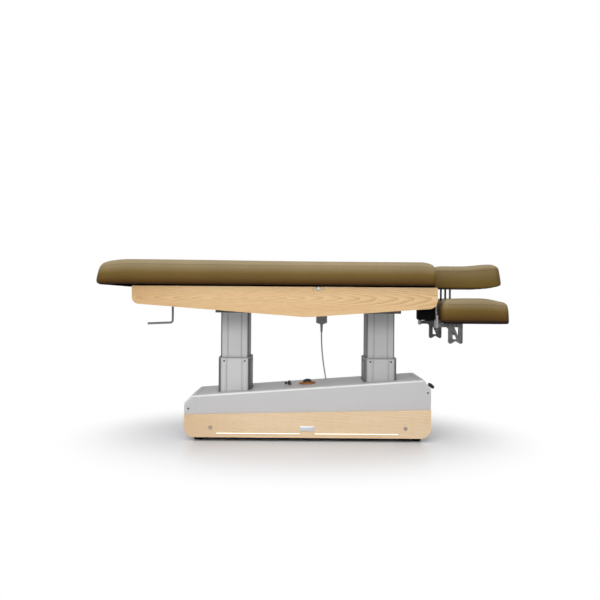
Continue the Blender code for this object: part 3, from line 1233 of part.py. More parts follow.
def build():
    """Clears the scene and makes every piece of the table."""
    for old in list(bpy.data.objects):
        bpy.data.objects.remove(old, do_unlink=True)
    leather = colour("olive_leatherette", 0x7D6A3C, 0.5)
    wood = colour("light_oak", 0xDFC296, 0.5)
    board = colour("black_plywood", 0x24211E, 0.7)
    cover = colour("grey_cover", 0xC6C5C5, 0.45)
    alloy = colour("silver_column", 0xB9B9B9, 0.4, 0.6)
    bracket_metal = colour("brushed_bracket", 0x9A9A9A, 0.35, 0.9)
    steel = colour("black_steel", 0x2A2A2A, 0.5, 0.5)
    bright = colour("plated_steel", 0xB0B0B0, 0.3, 1.0)
    plastic = colour("black_plastic", 0x1C1C1C, 0.5)
    grey_plastic = colour("grey_plastic", 0x605F5C, 0.5)
    rubber = colour("black_rubber", 0x141414, 0.8)
    cord = colour("grey_cord", 0x8D8C8A, 0.6)
    copper = colour("copper_ring", 0xB5743A, 0.35, 0.8)
    light = colour("warm_light", 0xFFF1D6, 0.3)

    add_chassis(steel, rubber, plastic)
    add_covers(cover)
    add_skirts(wood, light)
    add_columns(alloy, grey_plastic, steel)
    add_foot_controls(copper, plastic)
    add_rails(wood)
    add_platforms(board)
    add_mattress(leather)
    add_pivots(bright, bright)
    add_actuator(grey_plastic, bright)
    add_release_lever(bright, steel)
    add_junction(grey_plastic, rubber)
    add_cable(cord)
    add_head_carrier(steel, bracket_metal)
    add_head_rest(leather, bracket_metal)
    for name, side in SIDES.items():
        add_arm(name, side, leather, bracket_metal, plastic)


build()
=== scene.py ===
"""Electric massage table: upholstery, wood, paint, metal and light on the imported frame.

Metres. +X is the head end, -Y the near side and +Z up, as in the frame.
"""
import math
from functools import partial

import bmesh
import bpy
import numpy as np
from mathutils import Euler, Matrix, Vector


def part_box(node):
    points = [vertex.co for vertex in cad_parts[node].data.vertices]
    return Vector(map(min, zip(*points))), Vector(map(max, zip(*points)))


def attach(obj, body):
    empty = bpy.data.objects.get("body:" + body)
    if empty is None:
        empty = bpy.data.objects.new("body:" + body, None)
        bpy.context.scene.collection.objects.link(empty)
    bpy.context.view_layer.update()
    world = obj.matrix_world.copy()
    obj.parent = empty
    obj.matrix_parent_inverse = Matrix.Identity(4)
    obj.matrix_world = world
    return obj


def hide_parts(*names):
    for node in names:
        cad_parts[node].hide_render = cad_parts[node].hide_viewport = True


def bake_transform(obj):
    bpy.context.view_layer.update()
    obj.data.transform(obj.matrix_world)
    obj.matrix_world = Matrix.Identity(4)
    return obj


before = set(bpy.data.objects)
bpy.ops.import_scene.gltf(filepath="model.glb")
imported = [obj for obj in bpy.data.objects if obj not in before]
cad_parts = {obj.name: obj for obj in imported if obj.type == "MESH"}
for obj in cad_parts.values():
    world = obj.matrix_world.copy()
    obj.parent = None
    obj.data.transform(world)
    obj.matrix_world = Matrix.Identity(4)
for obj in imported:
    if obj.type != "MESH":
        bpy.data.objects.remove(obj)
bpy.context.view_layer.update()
scene = bpy.context.scene

# Places on the frame
HINGE_X, _, HINGE_Z = np.mean(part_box("pivot_bolt_near"), axis=0).tolist()
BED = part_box("mattress_leg")[0][2]
_, RAIL_FACE, RAIL_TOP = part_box("rail_far")[1]
SKIRT_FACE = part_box("skirt_far")[1][1]
COVER_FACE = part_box("base_cover")[1][1]
COVER_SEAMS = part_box("end_cover_foot")[1][0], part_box("end_cover_head")[0][0]
COLUMN_XS = {end: np.mean(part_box(f"column_collar_{end}"), axis=0).tolist()[0] for end in ("foot", "head")}
LIGHT_Z = np.mean(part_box("light_strip_far"), axis=0).tolist()[2]

# The face opening's middle along X, half its length and half its width, as in the solids
FACE_HOLE = (0.9575, 0.090, 0.045)

# The cable's route from the junction box down to the gland, as in the solids
CABLE_ROUTE = [
    (0.1160, 0.2947, 0.5897), (0.1160, 0.2947, 0.5700), (0.1168, 0.2962, 0.5350), (0.1210, 0.3010, 0.4700),
    (0.1290, 0.3065, 0.4000), (0.1390, 0.3105, 0.3350), (0.1465, 0.3115, 0.2900), (0.1495, 0.3095, 0.2560),
    (0.1500, 0.2985, 0.2285), (0.1500, 0.2800, 0.2160), (0.1500, 0.2640, 0.2140), (0.1500, 0.2506, 0.2140),
]
CABLE_DIAMETER = 0.0085


# Camera

CAMERA_PLACE = (-0.0205, -4.53, 0.792)
CAMERA_LENS = 46.1
CAMERA_ROLL = 0.0075


def add_camera():
    """The photograph's view: square on the long side, a little above mid height, rolled by 0.43 degrees."""
    data = bpy.data.cameras.new("photo_camera")
    data.lens = CAMERA_LENS
    camera = bpy.data.objects.new("photo_camera", data)
    turn = Euler((math.pi / 2, 0.0, 0.0)).to_matrix() @ Matrix.Rotation(CAMERA_ROLL, 3, "Z")
    camera.matrix_world = Matrix.Translation(CAMERA_PLACE) @ turn.to_4x4()
    scene.collection.objects.link(camera)
    scene.camera = camera


# Shape tools

SHARP_ANGLE = math.radians(35.0)


def smooth_line(knots, count):
    """Points at even steps of length along a Catmull-Rom curve through the knots, found by linear lookup."""
    k = np.array(knots, float)
    k = np.vstack([2 * k[0] - k[1], k, 2 * k[-1] - k[-2]])
    t = np.linspace(0.0, 1.0, 24, endpoint=False)[None, :, None]
    a, b, c, d = (k[i:len(k) - 3 + i, None, :] for i in range(4))
    curve = (2 * b + (c - a) * t + (2 * a - 5 * b + 4 * c - d) * t ** 2 + (3 * b - a - 3 * c + d) * t ** 3) / 2
    curve = np.vstack([curve.reshape(-1, k.shape[1]), k[-2]])
    run = run_along(curve)
    goal = np.linspace(0.0, run[-1], count)
    return np.stack([np.interp(goal, run, curve[:, i]) for i in range(k.shape[1])], 1)


def run_along(line):
    """Length run from the start of a line of points to each of its points."""
    return np.concatenate([[0.0], np.cumsum(np.linalg.norm(np.diff(line, axis=0), axis=1))])


def grid_quads(rows, columns, close_rows=False, close_columns=True):
    """Corner numbers of the quads of a grid of points; a closed direction joins its last line to its first."""
    a, b = np.meshgrid(np.arange(rows - (not close_rows)), np.arange(columns - (not close_columns)), indexing="ij")
    a2, b2 = (a + 1) % rows, (b + 1) % columns
    return np.stack([a * columns + b, a * columns + b2, a2 * columns + b2, a2 * columns + b], -1).reshape(-1, 4)


def raw_object(name, points, quads, *materials):
    """An object at the origin from points and quads as they are."""
    mesh = bpy.data.meshes.new(name)
    mesh.from_pydata(np.reshape(points, (-1, 3)).tolist(), [], quads.tolist())
    for material in materials:
        mesh.materials.append(material)
    obj = bpy.data.objects.new(name, mesh)
    scene.collection.objects.link(obj)
    return obj


def close_mesh(mesh, join=None):
    """Joins doubled points within a distance, if one is given, and turns the faces outwards."""
    bm = bmesh.new()
    bm.from_mesh(mesh)
    if join is not None:
        bmesh.ops.remove_doubles(bm, verts=bm.verts, dist=join)
    bmesh.ops.recalc_face_normals(bm, faces=bm.faces)
    bm.to_mesh(mesh)
    bm.free()


def add_mesh(name, points, quads, material):
    """A closed piece from a grid of points, smooth but for edges sharper than the sharp angle."""
    obj = raw_object(name, points, quads, material)
    close_mesh(obj.data, 1e-6)
    obj.data.shade_smooth()
    obj.data.set_sharp_from_angle(angle=SHARP_ANGLE)
    return obj


def read_points(mesh, what="co"):
    """The places or normals of a mesh's points, one row each."""
    values = np.empty(len(mesh.vertices) * 3, np.float32)
    mesh.vertices.foreach_get(what, values)
    return values.reshape(-1, 3)


def axes_of(out):
    """Three unit vectors: two across and the last along out."""
    w = np.array(out, float) / np.linalg.norm(out)
    helper = np.array([0.0, 0.0, 1.0]) if abs(w[2]) < 0.9 else np.array([1.0, 0.0, 0.0])
    u = np.cross(helper, w)
    u /= np.linalg.norm(u)
    return np.stack([u, np.cross(w, u), w])


def turned(profile, sides, shape=None):
    """A turned form: ring r(v) about the axis at height h(v), where shape(angle, v) may vary the radius."""
    profile = np.array(profile, float)
    angle = np.linspace(0.0, 2 * np.pi, sides, endpoint=False)
    radius = profile[:, :1] * np.ones((1, sides))
    if shape is not None:
        radius = radius * shape(angle[None, :], np.arange(len(profile))[:, None])
    points = np.stack([radius * np.cos(angle), radius * np.sin(angle), profile[:, 1:2] + 0 * radius], -1)
    return points.reshape(-1, 3), grid_quads(len(profile), sides)


def set_out(form, places, outs):
    """Copies of one form, each turned so that its axis points along its own out direction at its own place."""
    points, quads = form
    turns = np.stack([axes_of(out) for out in outs])
    moved = np.einsum("pk,nkc->npc", points, turns) + np.array(places, float)[:, None, :]
    offsets = np.arange(len(places))[:, None, None] * len(points)
    return moved.reshape(-1, 3), (quads[None] + offsets).reshape(-1, 4)


def socket_screw(radius, height, socket):
    """A low domed screw head: turned rim and dome, and a socket whose radius follows a hexagon."""
    profile = [(0.0, 0.0), (radius, 0.0), (radius, 0.45 * height), (0.93 * radius, 0.75 * height)]
    profile += [(0.72 * radius, height), (1.12 * socket, height), (socket, 0.92 * height)]
    profile += [(socket, 0.35 * height), (0.0, 0.3 * height)]

    socket_row = 6

    def shape(angle, row):
        six = np.cos(np.pi / 6) / np.cos(np.mod(angle, np.pi / 3) - np.pi / 6)
        return np.where(row >= socket_row, six, 1.0)

    return turned(profile, 24, shape)


def plan_ring(size, corner, draw_in, inset, counts):
    """A rounded rectangle, inset evenly: four quarter arcs, joined by sides that sink by 4s(1-s) of draw_in.

    The corner radii are one for the end at low X and one for the end at high X.
    """
    x0, x1, y0, y1 = size
    corners = np.array([corner[1], corner[0], corner[0], corner[1]])
    radius = np.maximum(corners - inset, 0.2 * corners)
    reach = inset + radius
    cx = np.array([x1, x0, x0, x1]) + reach * (-1, 1, 1, -1)
    cy = np.array([y1, y1, y0, y0]) + reach * (-1, -1, 1, 1)
    parts = []
    for quarter in range(4):
        after = (quarter + 1) % 4
        angle = (quarter + np.linspace(0.0, 1.0, counts[2])) * np.pi / 2
        arc = radius[quarter] * np.stack([np.cos(angle), np.sin(angle)], 1)
        parts.append(np.array([cx[quarter], cy[quarter]]) + arc)
        share = np.linspace(0.0, 1.0, counts[quarter % 2] + 1)[1:-1]
        out = radius[quarter] * (1 - share) + radius[after] * share - 4 * share * (1 - share) * draw_in
        end = (quarter + 1) * np.pi / 2
        along = cx[quarter] * (1 - share) + cx[after] * share + out * np.cos(end)
        parts.append(np.stack([along, cy[quarter] * (1 - share) + cy[after] * share + out * np.sin(end)], 1))
    return np.concatenate(parts)


def step(x):
    """Smooth step from 0 to 1 while x goes from 0 to 1."""
    x = np.clip(x, 0.0, 1.0)
    return x * x * (3 - 2 * x)


# Padded pieces

# Rows about a seam, the room kept for them, and the width of the groove along it
SEAM_ROWS = np.array([-0.006, -0.004, -0.002, -0.001, 0.0, 0.001, 0.002, 0.004, 0.006])
SEAM_ROOM = 0.008
SEAM_WIDTH = 0.0024
PUCKER_HEIGHT, PUCKER_LENGTH, PUCKER_FADE, PUCKER_END = 0.0007, 0.047, 0.030, 0.09
STITCH_PITCH, STITCH_LENGTH, STITCH_WIDTH = 0.0078, 0.0058, 0.0012
STITCH_ABOVE_SEAM, STITCH_OUT = 0.005, 0.0018

# Heights up the side, and how far the painted light has come there, from painted shade at the lower edge to a painted
# highlight on top
PAD_PAINTED_LIGHT = ((0.0, 0.130), (0.0, 1.0))
HEAD_PAINTED_LIGHT = ((0.0, 0.105, 0.124), (0.42, 0.66, 1.0))
ARM_PAINTED_LIGHT = ((0.0, 0.130), (-0.06, 0.96))
# Below this height a pad's side is near black lining, which stands in for painted shade along its lower edge
SHADE_LINED_BELOW = 0.0045

SWELL_PRESSURE, SWELL_CAP, SWELL_FRAMES = 4.0, 0.004, 20
CLOTH = {
    "quality": 5, "mass": 0.4, "tension_stiffness": 12, "compression_stiffness": 12, "shear_stiffness": 5,
    "bending_stiffness": 0.6, "use_pressure": True, "uniform_pressure_force": SWELL_PRESSURE,
}

# How far from a pad's end at high X its inset is taken back, where it has a square share
SQUARE_FROM = 0.11

# Between a pad and what it lies on
BASE_GAP = 0.0005


def side_rows(side, spacing, seam):
    """Rows up a padded side: its (inset, height) line at even steps, with closer steps about the seam height."""
    line = smooth_line(side, 400)
    run = run_along(line)
    at_seam = run[np.argmin(np.abs(line[:, 1] - seam))]
    even = np.linspace(0.0, run[-1], int(run[-1] / spacing) + 1)
    even = even[np.abs(even - at_seam) > SEAM_ROOM]
    rows = np.sort(np.concatenate([even, at_seam + SEAM_ROWS]))
    places = np.stack([np.interp(rows, run, line[:, i]) for i in range(2)], 1)
    return places, int(np.argmin(np.abs(rows - at_seam)))


def pad_surface(size, base, corner, draw_in, side, crown, counts, spacing, seam, lift, pocket=None, square=0.0):
    """A pad: rings of the plan outline up the side line, then straight blends from the top edge to a middle line.

    The top rises by crown(1-a^p)(1-b^2), where a along X and b along Y run from 0 in the middle to 1 at the edge and
    p is twice the length over the width. The underside closes onto the same middle line, flat or with a pocket
    (inset, depth) that takes a board. A square share takes back that much of the inset at the end at high X. The
    last result is each row's height above the bottom.
    """
    rows, seam_row = side_rows(side, spacing, seam)
    rings = np.stack([plan_ring(size, corner, draw_in, inset, counts) for inset, _ in rows])
    half = min(size[1] - size[0], size[3] - size[2]) / 2
    middle = np.array([(size[0] + size[1]) / 2, (size[2] + size[3]) / 2])
    reach = np.array([(size[1] - size[0]) / 2 - half, (size[3] - size[2]) / 2 - half])
    spine = middle + np.clip(rings[-1] - middle, -reach, reach)
    share = np.linspace(0.0, 1.0, max(6, int(half / spacing / 1.6)) + 1)[1:, None, None]
    top = rings[-1] * (1 - share) + spine * share
    below, low = [spine, (rings[0] + spine) / 2], [0.0, 0.0]
    if pocket is not None:
        wall = plan_ring(size, corner, 0.0, pocket[0], counts)
        below, low = [spine, (wall + spine) / 2, wall, wall], [pocket[1], pocket[1], pocket[1], 0.0]
    rings[..., 0] += square * rows[:, :1] * step((rings[..., 0] - size[1] + SQUARE_FROM) / 0.08)
    top[..., 0] += square * rows[-1, 0] * (1 - share[..., 0]) * step((top[..., 0] - size[1] + SQUARE_FROM) / 0.05)
    plan = np.concatenate([np.stack(below), rings, top])
    heights = np.concatenate([low, rows[:, 1], np.full(len(share), rows[-1, 1])])
    z = np.repeat(heights[:, None], plan.shape[1], 1)
    across = reach + half
    a = np.clip(np.abs(top - middle) / (across - rows[-1, 0]), 0.0, 1.0)
    z[-len(share):] += crown * (1 - a[..., 0] ** (2 * across[0] / across[1])) * (1 - a[..., 1] ** 2)
    z = base + z + lift(plan[..., 0]) * z / rows[-1, 1]
    points = np.concatenate([plan, z[..., None]], -1)
    held = list(range(len(below) + 2)) + [seam_row + len(below)]
    return points, held, heights


def swell(obj, held):
    """Lets a pad swell as cloth under inner pressure, with some points held, and limits how far each point moves."""
    start = read_points(obj.data)
    group = obj.vertex_groups.new(name="held")
    group.add([int(i) for i in held], 1.0, "REPLACE")
    cloth = obj.modifiers.new("swell", "CLOTH")
    for key, value in CLOTH.items():
        setattr(cloth.settings, key, value)
    cloth.settings.effector_weights.gravity = 0.0
    cloth.settings.vertex_group_mass = "held"
    cloth.point_cache.frame_start = 1
    cloth.point_cache.frame_end = SWELL_FRAMES
    for number in range(1, SWELL_FRAMES + 1):
        scene.frame_set(number)
    shown = obj.evaluated_get(bpy.context.evaluated_depsgraph_get())
    move = read_points(shown.data) - start
    length = np.linalg.norm(move, axis=1, keepdims=True)
    obj.modifiers.remove(cloth)
    obj.vertex_groups.remove(group)
    scene.frame_set(1)
    moved = start + move * np.minimum(1.0, SWELL_CAP / np.maximum(length, 1e-9))
    obj.data.vertices.foreach_set("co", moved.ravel())
    obj.data.update()


def sewn_pad(name, points, held, heights, groove, levels, painted_light=PAD_PAINTED_LIGHT, close_rows=False):
    """Swells a pad between its held rows, presses the seam in by a bell-shaped groove, joins doubles, subdivides.

    The last held row is the seam. Puckers are a slow sine along it that fades away on both sides. Each point keeps
    its share of the painted light, which the upholstery's colour follows: painted shade low down, a painted highlight
    on top. The lowest rows and the bottom are lining, whose near black also stands in for shade along the lower edges.
    """
    rows, columns = points.shape[:2]
    seam = held[-1]
    quads = grid_quads(rows, columns, close_rows)
    obj = raw_object(name, points, quads, UPHOLSTERY, LINING_AND_SHADE)
    # Painted shade: the lowest rows take the near black lining
    shade_lined = (heights[:-1] + heights[1:]) / 2 < SHADE_LINED_BELOW
    shade_lined = np.repeat(np.append(shade_lined, close_rows), columns)[:len(quads)]
    obj.data.polygons.foreach_set("material_index", shade_lined.astype(np.int32))
    number = np.arange(rows * columns).reshape(rows, columns)
    close_mesh(obj.data)
    swell(obj, number[held].ravel())
    place = read_points(obj.data).reshape(rows, columns, 3)
    normal = read_points(obj.data, "normal").reshape(rows, columns, 3)
    run = np.cumsum(np.linalg.norm(np.diff(place, axis=0, prepend=place[:1]), axis=2), axis=0)
    off = run - run[seam]
    dent = groove * np.exp(-(off / SEAM_WIDTH) ** 2)
    along = run_along(place[seam])
    pucker = np.sin(along * 2 * np.pi / PUCKER_LENGTH + 2.1 * np.sin(along * 5.3)) * np.sin(along * 17.0 + 1.3)
    waves = PUCKER_HEIGHT * pucker[None, :] * np.exp(-(np.abs(off) / PUCKER_FADE) ** 2)
    place = place - normal * ((dent - waves) * (np.abs(off) < PUCKER_END))[..., None]
    seam_line = place[seam].copy()
    obj.data.vertices.foreach_set("co", place.astype(np.float32).ravel())
    # Each point's share of the painted light: painted shade low on the side, a painted highlight on top
    tone = obj.data.attributes.new("painted_light_share", "FLOAT", "POINT")
    shares = np.interp(heights, *painted_light)
    tone.data.foreach_set("value", np.repeat(shares.astype(np.float32), columns))
    close_mesh(obj.data, 1e-5)
    obj.data.shade_smooth()
    if levels:
        finer = obj.modifiers.new("finer", "SUBSURF")
        finer.levels = finer.render_levels = levels
        shown = obj.evaluated_get(bpy.context.evaluated_depsgraph_get())
        mesh = bpy.data.meshes.new_from_object(shown)
        obj.modifiers.remove(finer)
        obj.data = mesh
        obj.data.name = name
    thread = stitches(f"{name}_thread", seam_line, normal[seam])
    return obj, thread


def stitches(name, line, out):
    """Thread above a seam: short bars at even steps of the seam's length, each a small pointed six-sided form."""
    closed = np.vstack([line, line[:1]])
    run = run_along(closed)
    goal = np.arange(0.0, run[-1] - STITCH_PITCH / 2, run[-1] / int(run[-1] / STITCH_PITCH))
    outs = np.vstack([out, out[:1]])
    place = np.stack([np.interp(goal, run, closed[:, i]) for i in range(3)], 1)
    ahead = np.stack([np.interp(np.mod(goal + 0.002, run[-1]), run, closed[:, i]) for i in range(3)], 1)
    w = np.stack([np.interp(goal, run, outs[:, i]) for i in range(3)], 1)
    w /= np.linalg.norm(w, axis=1, keepdims=True)
    u = ahead - place
    u /= np.linalg.norm(u, axis=1, keepdims=True)
    v = np.cross(w, u)
    v *= np.sign(v[:, 2:3] + 1e-9)
    profile = np.array([(0.0, -1.0), (0.7, -0.8), (1.0, -0.3), (1.0, 0.3), (0.7, 0.8), (0.0, 1.0)])
    angle = np.linspace(0.0, 2 * np.pi, 6, endpoint=False)
    a = STITCH_LENGTH / 2 * profile[:, 1:2] + 0 * angle
    b = STITCH_WIDTH / 2 * profile[:, :1] * np.cos(angle)
    c = STITCH_WIDTH / 2 * profile[:, :1] * np.sin(angle)
    form = np.stack([a, b, c], -1).reshape(-1, 3)
    turns = np.stack([u, v, w], 1)
    points = np.einsum("pk,nkc->npc", form, turns) + (place + v * STITCH_ABOVE_SEAM + w * STITCH_OUT)[:, None, :]
    quads = (grid_quads(6, 6)[None] + (np.arange(len(place)) * len(form))[:, None, None]).reshape(-1, 4)
    return add_mesh(name, points, quads, THREAD)


# Materials

# A Mix node that mixes colours: its output and kind, and its sockets
MIX = {"out": 2, "data_type": "RGBA"}
FACTOR, A, B = 0, 6, 7


def linear(value):
    """An sRGB hex colour as linear red, green, blue and alpha."""
    c = np.array([(value >> shift) & 255 for shift in (16, 8, 0)]) / 255
    c = np.where(c <= 0.04045, c / 12.92, ((c + 0.055) / 1.055) ** 2.4)
    return (*c.tolist(), 1.0)


def add_node(owner, kind, inputs=None, out=0, **settings):
    """One shader node, its kind given without the prefix; gives one of its outputs, or the node itself for None.

    Settings are its properties. Inputs are values, hex colours or sockets.
    """
    made = owner.node_tree.nodes.new(f"ShaderNode{kind}")
    for key, value in settings.items():
        setattr(made, key, value)
    for key, value in (inputs or {}).items():
        socket = made.inputs[key]
        if isinstance(value, bpy.types.NodeSocket):
            owner.node_tree.links.new(value, socket)
        else:
            socket.default_value = linear(value) if socket.type == "RGBA" else value
    return made if out is None else made.outputs[out]


def new_material(name):
    """An empty node material, add_node for this material, and its object coordinates."""
    material = bpy.data.materials.new(name)
    material.use_nodes = True
    material.node_tree.nodes.clear()
    add = partial(add_node, material)
    return material, add, add("TexCoord", out="Object")


def finish_material(material, inputs):
    """The Principled shader of a material, on its output."""
    shader = add_node(material, "BsdfPrincipled", inputs)
    add_node(material, "OutputMaterial", {"Surface": shader}, None)
    return material


def distance(add, value, place):
    """How far a value is from a place, on either side of it."""
    off = add("Math", {0: value, 1: place}, operation="SUBTRACT")
    return add("Math", {0: off}, operation="ABSOLUTE")


def streaks(add, place, widths, detail):
    """Noise drawn out along the axes, with grains of these widths."""
    stretch = add("Mapping", {"Vector": place, "Scale": [1 / width for width in widths]})
    return add("TexNoise", {"Vector": stretch, "Scale": 1.0, "Detail": detail})


def leatherette(name, low, mid, high):
    """PU-coated upholstery fabric, embossed: soft sheen, pebbled grain about 2 mm across (coarser than real).

    The colour is painted light: near black at the very bottom and deep brown at the lower edge as painted shade, pale
    on top as a painted highlight.
    """
    material, add, place = new_material(name)
    up = add("Attribute", out="Fac", attribute_name="painted_light_share")
    cells = add("TexVoronoi", {"Vector": place, "Scale": 1 / 0.0022}, "Distance", feature="SMOOTH_F1")
    fine = add("TexNoise", {"Vector": place, "Scale": 1 / 0.004, "Detail": 4.0})
    cloud = add("TexNoise", {"Vector": place, "Scale": 1 / 0.22, "Detail": 3.0})
    # Painted shade: near black at the very bottom and the low tone along the lower edge; the high tone is a painted
    # highlight on top
    colour = 0x140C02
    for start, end, tone in ((0.01, 0.14, low), (0.08, 0.50, mid), (0.50, 0.92, high)):
        share = add("MapRange", {"Value": up, "From Min": start, "From Max": end})
        colour = add("Mix", {FACTOR: share, A: colour, B: tone}, **MIX)
    patch = add("MapRange", {"Value": cloud, "From Min": 0.35, "From Max": 0.65, "To Min": 0.92, "To Max": 1.03})
    grain = add("MapRange", {"Value": cells, "From Min": 0.1, "From Max": 0.8, "To Min": 0.90, "To Max": 1.12})
    for shade in (patch, grain):
        colour = add("Mix", {FACTOR: 1.0, A: colour, B: shade}, **MIX, blend_type="MULTIPLY")
    bump = add("Bump", {"Height": cells, "Strength": 0.35, "Distance": 0.0005})
    bump = add("Bump", {"Height": fine, "Strength": 0.25, "Distance": 0.0008, "Normal": bump})
    rough = add("MapRange", {"Value": fine, "From Min": 0.3, "From Max": 0.7, "To Min": 0.50, "To Max": 0.64})
    return finish_material(material, {
        "Base Color": colour, "Roughness": rough, "Normal": bump, "Specular IOR Level": 0.16, "IOR": 1.5})


def lining_and_shade_cloth():
    """Black woven lining under the pads, also on the lowest rows of their sides as painted shade: matt, with threads
    1.5 mm apart (coarser than real).
    """
    material, add, place = new_material("black_lining_and_painted_shade")
    weave = add("TexChecker", {"Vector": place, "Scale": 1 / 0.0015}, 1)
    bump = add("Bump", {"Height": weave, "Strength": 0.2, "Distance": 0.0003})
    return finish_material(material, {
        "Base Color": 0x080604, "Roughness": 0.9, "Normal": bump, "Specular IOR Level": 0.0})


def oak(name, node, centre, tilt, figure, pale, mid, dark):
    """Flat-sawn light oak, lacquered: rings about a pith behind the face, so the face shows arches and long lines.

    The pith leans by the tilt, on both sides of the table alike. Rings are 6 mm apart and end in a darker line;
    pores are streaks 1.6 mm wide, drawn wider than real ones. The tone deepens over the node's last 350 mm at the
    foot end, as the boards in the photograph do.
    """
    material, add, place = new_material(name)
    axes = add("SeparateXYZ", {0: place}, None)
    depth = add("Math", {0: axes.outputs[1]}, operation="ABSOLUTE")
    both = add("CombineXYZ", {0: axes.outputs[0], 1: depth, 2: axes.outputs[2]})
    turn = add("Mapping", {"Vector": both, "Location": centre, "Rotation": (0.0, 0.0, tilt), "Scale": (0.10, 1.0, 1.0)})
    rings = add("TexWave", {"Vector": turn, "Scale": 52.0, "Distortion": 6.0, "Detail": 3.0, "Detail Scale": 0.40,
        "Detail Roughness": 0.5}, 1, wave_type="RINGS", rings_direction="X", wave_profile="SAW")
    pores = streaks(add, place, (0.045, 0.0016, 0.0016), 3.0)
    bands = streaks(add, place, (0.45, 0.030, 0.030), 2.0)
    colour = add("Mix", {FACTOR: rings, A: pale, B: mid}, **MIX)
    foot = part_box(node)[0][0]
    layers = (
        (rings, 0.55, 1.00, 0.6 * figure, dark),
        (bands, 0.42, 0.68, 0.45, pale),
        (pores, 0.50, 0.74, 0.45, dark),
        (axes.outputs[0], foot + 0.35, foot, 0.35, dark),
    )
    for pattern, start, end, most, tone in layers:
        amount = add("MapRange", {"Value": pattern, "From Min": start, "From Max": end, "To Max": most})
        colour = add("Mix", {FACTOR: amount, A: colour, B: tone}, **MIX)
    bump = add("Bump", {"Height": pores, "Strength": 0.15, "Distance": 0.0004})
    rough = add("MapRange", {"Value": pores, "From Min": 0.3, "From Max": 0.7, "To Min": 0.42, "To Max": 0.54})
    return finish_material(material, {
        "Base Color": colour, "Roughness": rough, "Normal": bump, "Specular IOR Level": 0.35, "IOR": 1.5})


def shade_stained_board():
    """Plywood with a black stain: the grain of the face shows faintly, and layers 1.5 mm thick on its edge. The near
    black also stands in for painted shade in the line between the mattress and the rails.
    """
    material, add, place = new_material("black_stained_plywood_painted_shade")
    layers = add("TexWave", {"Vector": place, "Scale": 1 / 0.0094, "Distortion": 0.4}, 1, bands_direction="Z")
    grain = streaks(add, place, (0.12, 0.006, 0.006), 3.0)
    colour = add("Mix", {FACTOR: grain, A: 0x1C1916, B: 0x2E2924}, **MIX)
    edge = add("MapRange", {"Value": layers, "From Min": 0.75, "From Max": 0.95, "To Max": 0.6})
    colour = add("Mix", {FACTOR: edge, A: colour, B: 0x0E0C0A}, **MIX)
    return finish_material(material, {"Base Color": colour, "Roughness": 0.65, "Specular IOR Level": 0.3})


def painted_steel(name, colour, deep, rough, gloss=0.5, seams=(), edge=None):
    """Powder-coated sheet steel: fine orange peel of about 1.2 mm, slightly duller in the hollows.

    Seams are joints between sheets, dark lines 3 mm wide (wider than real) across the top at these places along X.
    An edge colour is a painted highlight on the rounded long edges, found where the surface faces both outwards and
    upwards.
    """
    material, add, place = new_material(name)
    peel = add("TexNoise", {"Vector": place, "Scale": 1 / 0.0024, "Detail": 2.0})
    cloud = add("TexNoise", {"Vector": place, "Scale": 1 / 0.30, "Detail": 2.0})
    tone = add("Mix", {FACTOR: cloud, A: deep, B: colour}, **MIX)
    x = add("SeparateXYZ", {0: place})
    normal = add("NewGeometry", out="True Normal")
    facing = add("SeparateXYZ", {0: normal}, None)
    level = add("MapRange", {"Value": facing.outputs[2], "From Min": 0.4, "From Max": 0.8})
    for seam in seams:
        off = distance(add, x, seam)
        line = add("MapRange", {"Value": off, "From Min": 0.0010, "From Max": 0.0022, "To Min": level, "To Max": 0.0})
        tone = add("Mix", {FACTOR: line, A: tone, B: 0x868686}, **MIX)
    # Painted highlight on the rounded long edges
    if edge is not None:
        side = add("Math", {0: facing.outputs[1]}, operation="ABSOLUTE")
        both = add("Math", {0: side, 1: facing.outputs[2]}, operation="MULTIPLY")
        painted_highlight = add("MapRange", {"Value": both, "From Min": 0.15, "From Max": 0.35})
        tone = add("Mix", {FACTOR: painted_highlight, A: tone, B: edge}, **MIX)
    bump = add("Bump", {"Height": peel, "Strength": 0.12, "Distance": 0.0004})
    shine = add("MapRange", {
        "Value": peel, "From Min": 0.3, "From Max": 0.7, "To Min": rough - 0.04, "To Max": rough + 0.06})
    return finish_material(material, {
        "Base Color": tone, "Roughness": shine, "Normal": bump, "Specular IOR Level": gloss, "IOR": 1.5})


def drawn_metal(name, colour, deep, rough, run, metallic=1.0, gloss=0.5):
    """Drawn, brushed or plated metal: fine lines, whose widths along the axes are in run, and some wear in the tone."""
    material, add, place = new_material(name)
    lines = streaks(add, place, run, 3.0)
    cloud = add("TexNoise", {"Vector": place, "Scale": 1 / 0.09, "Detail": 3.0})
    streak = add("MapRange", {"Value": lines, "From Min": 0.35, "From Max": 0.65})
    tone = add("Mix", {FACTOR: streak, A: deep, B: colour}, **MIX)
    patch = add("MapRange", {"Value": cloud, "From Min": 0.5, "From Max": 0.8, "To Max": 0.3})
    tone = add("Mix", {FACTOR: patch, A: tone, B: deep}, **MIX)
    bump = add("Bump", {"Height": lines, "Strength": 0.10, "Distance": 0.0002})
    shine = add("MapRange", {
        "Value": lines, "From Min": 0.3, "From Max": 0.7, "To Min": rough - 0.06, "To Max": rough + 0.08})
    return finish_material(material, {
        "Base Color": tone, "Metallic": metallic, "Roughness": shine, "Normal": bump, "Specular IOR Level": gloss})


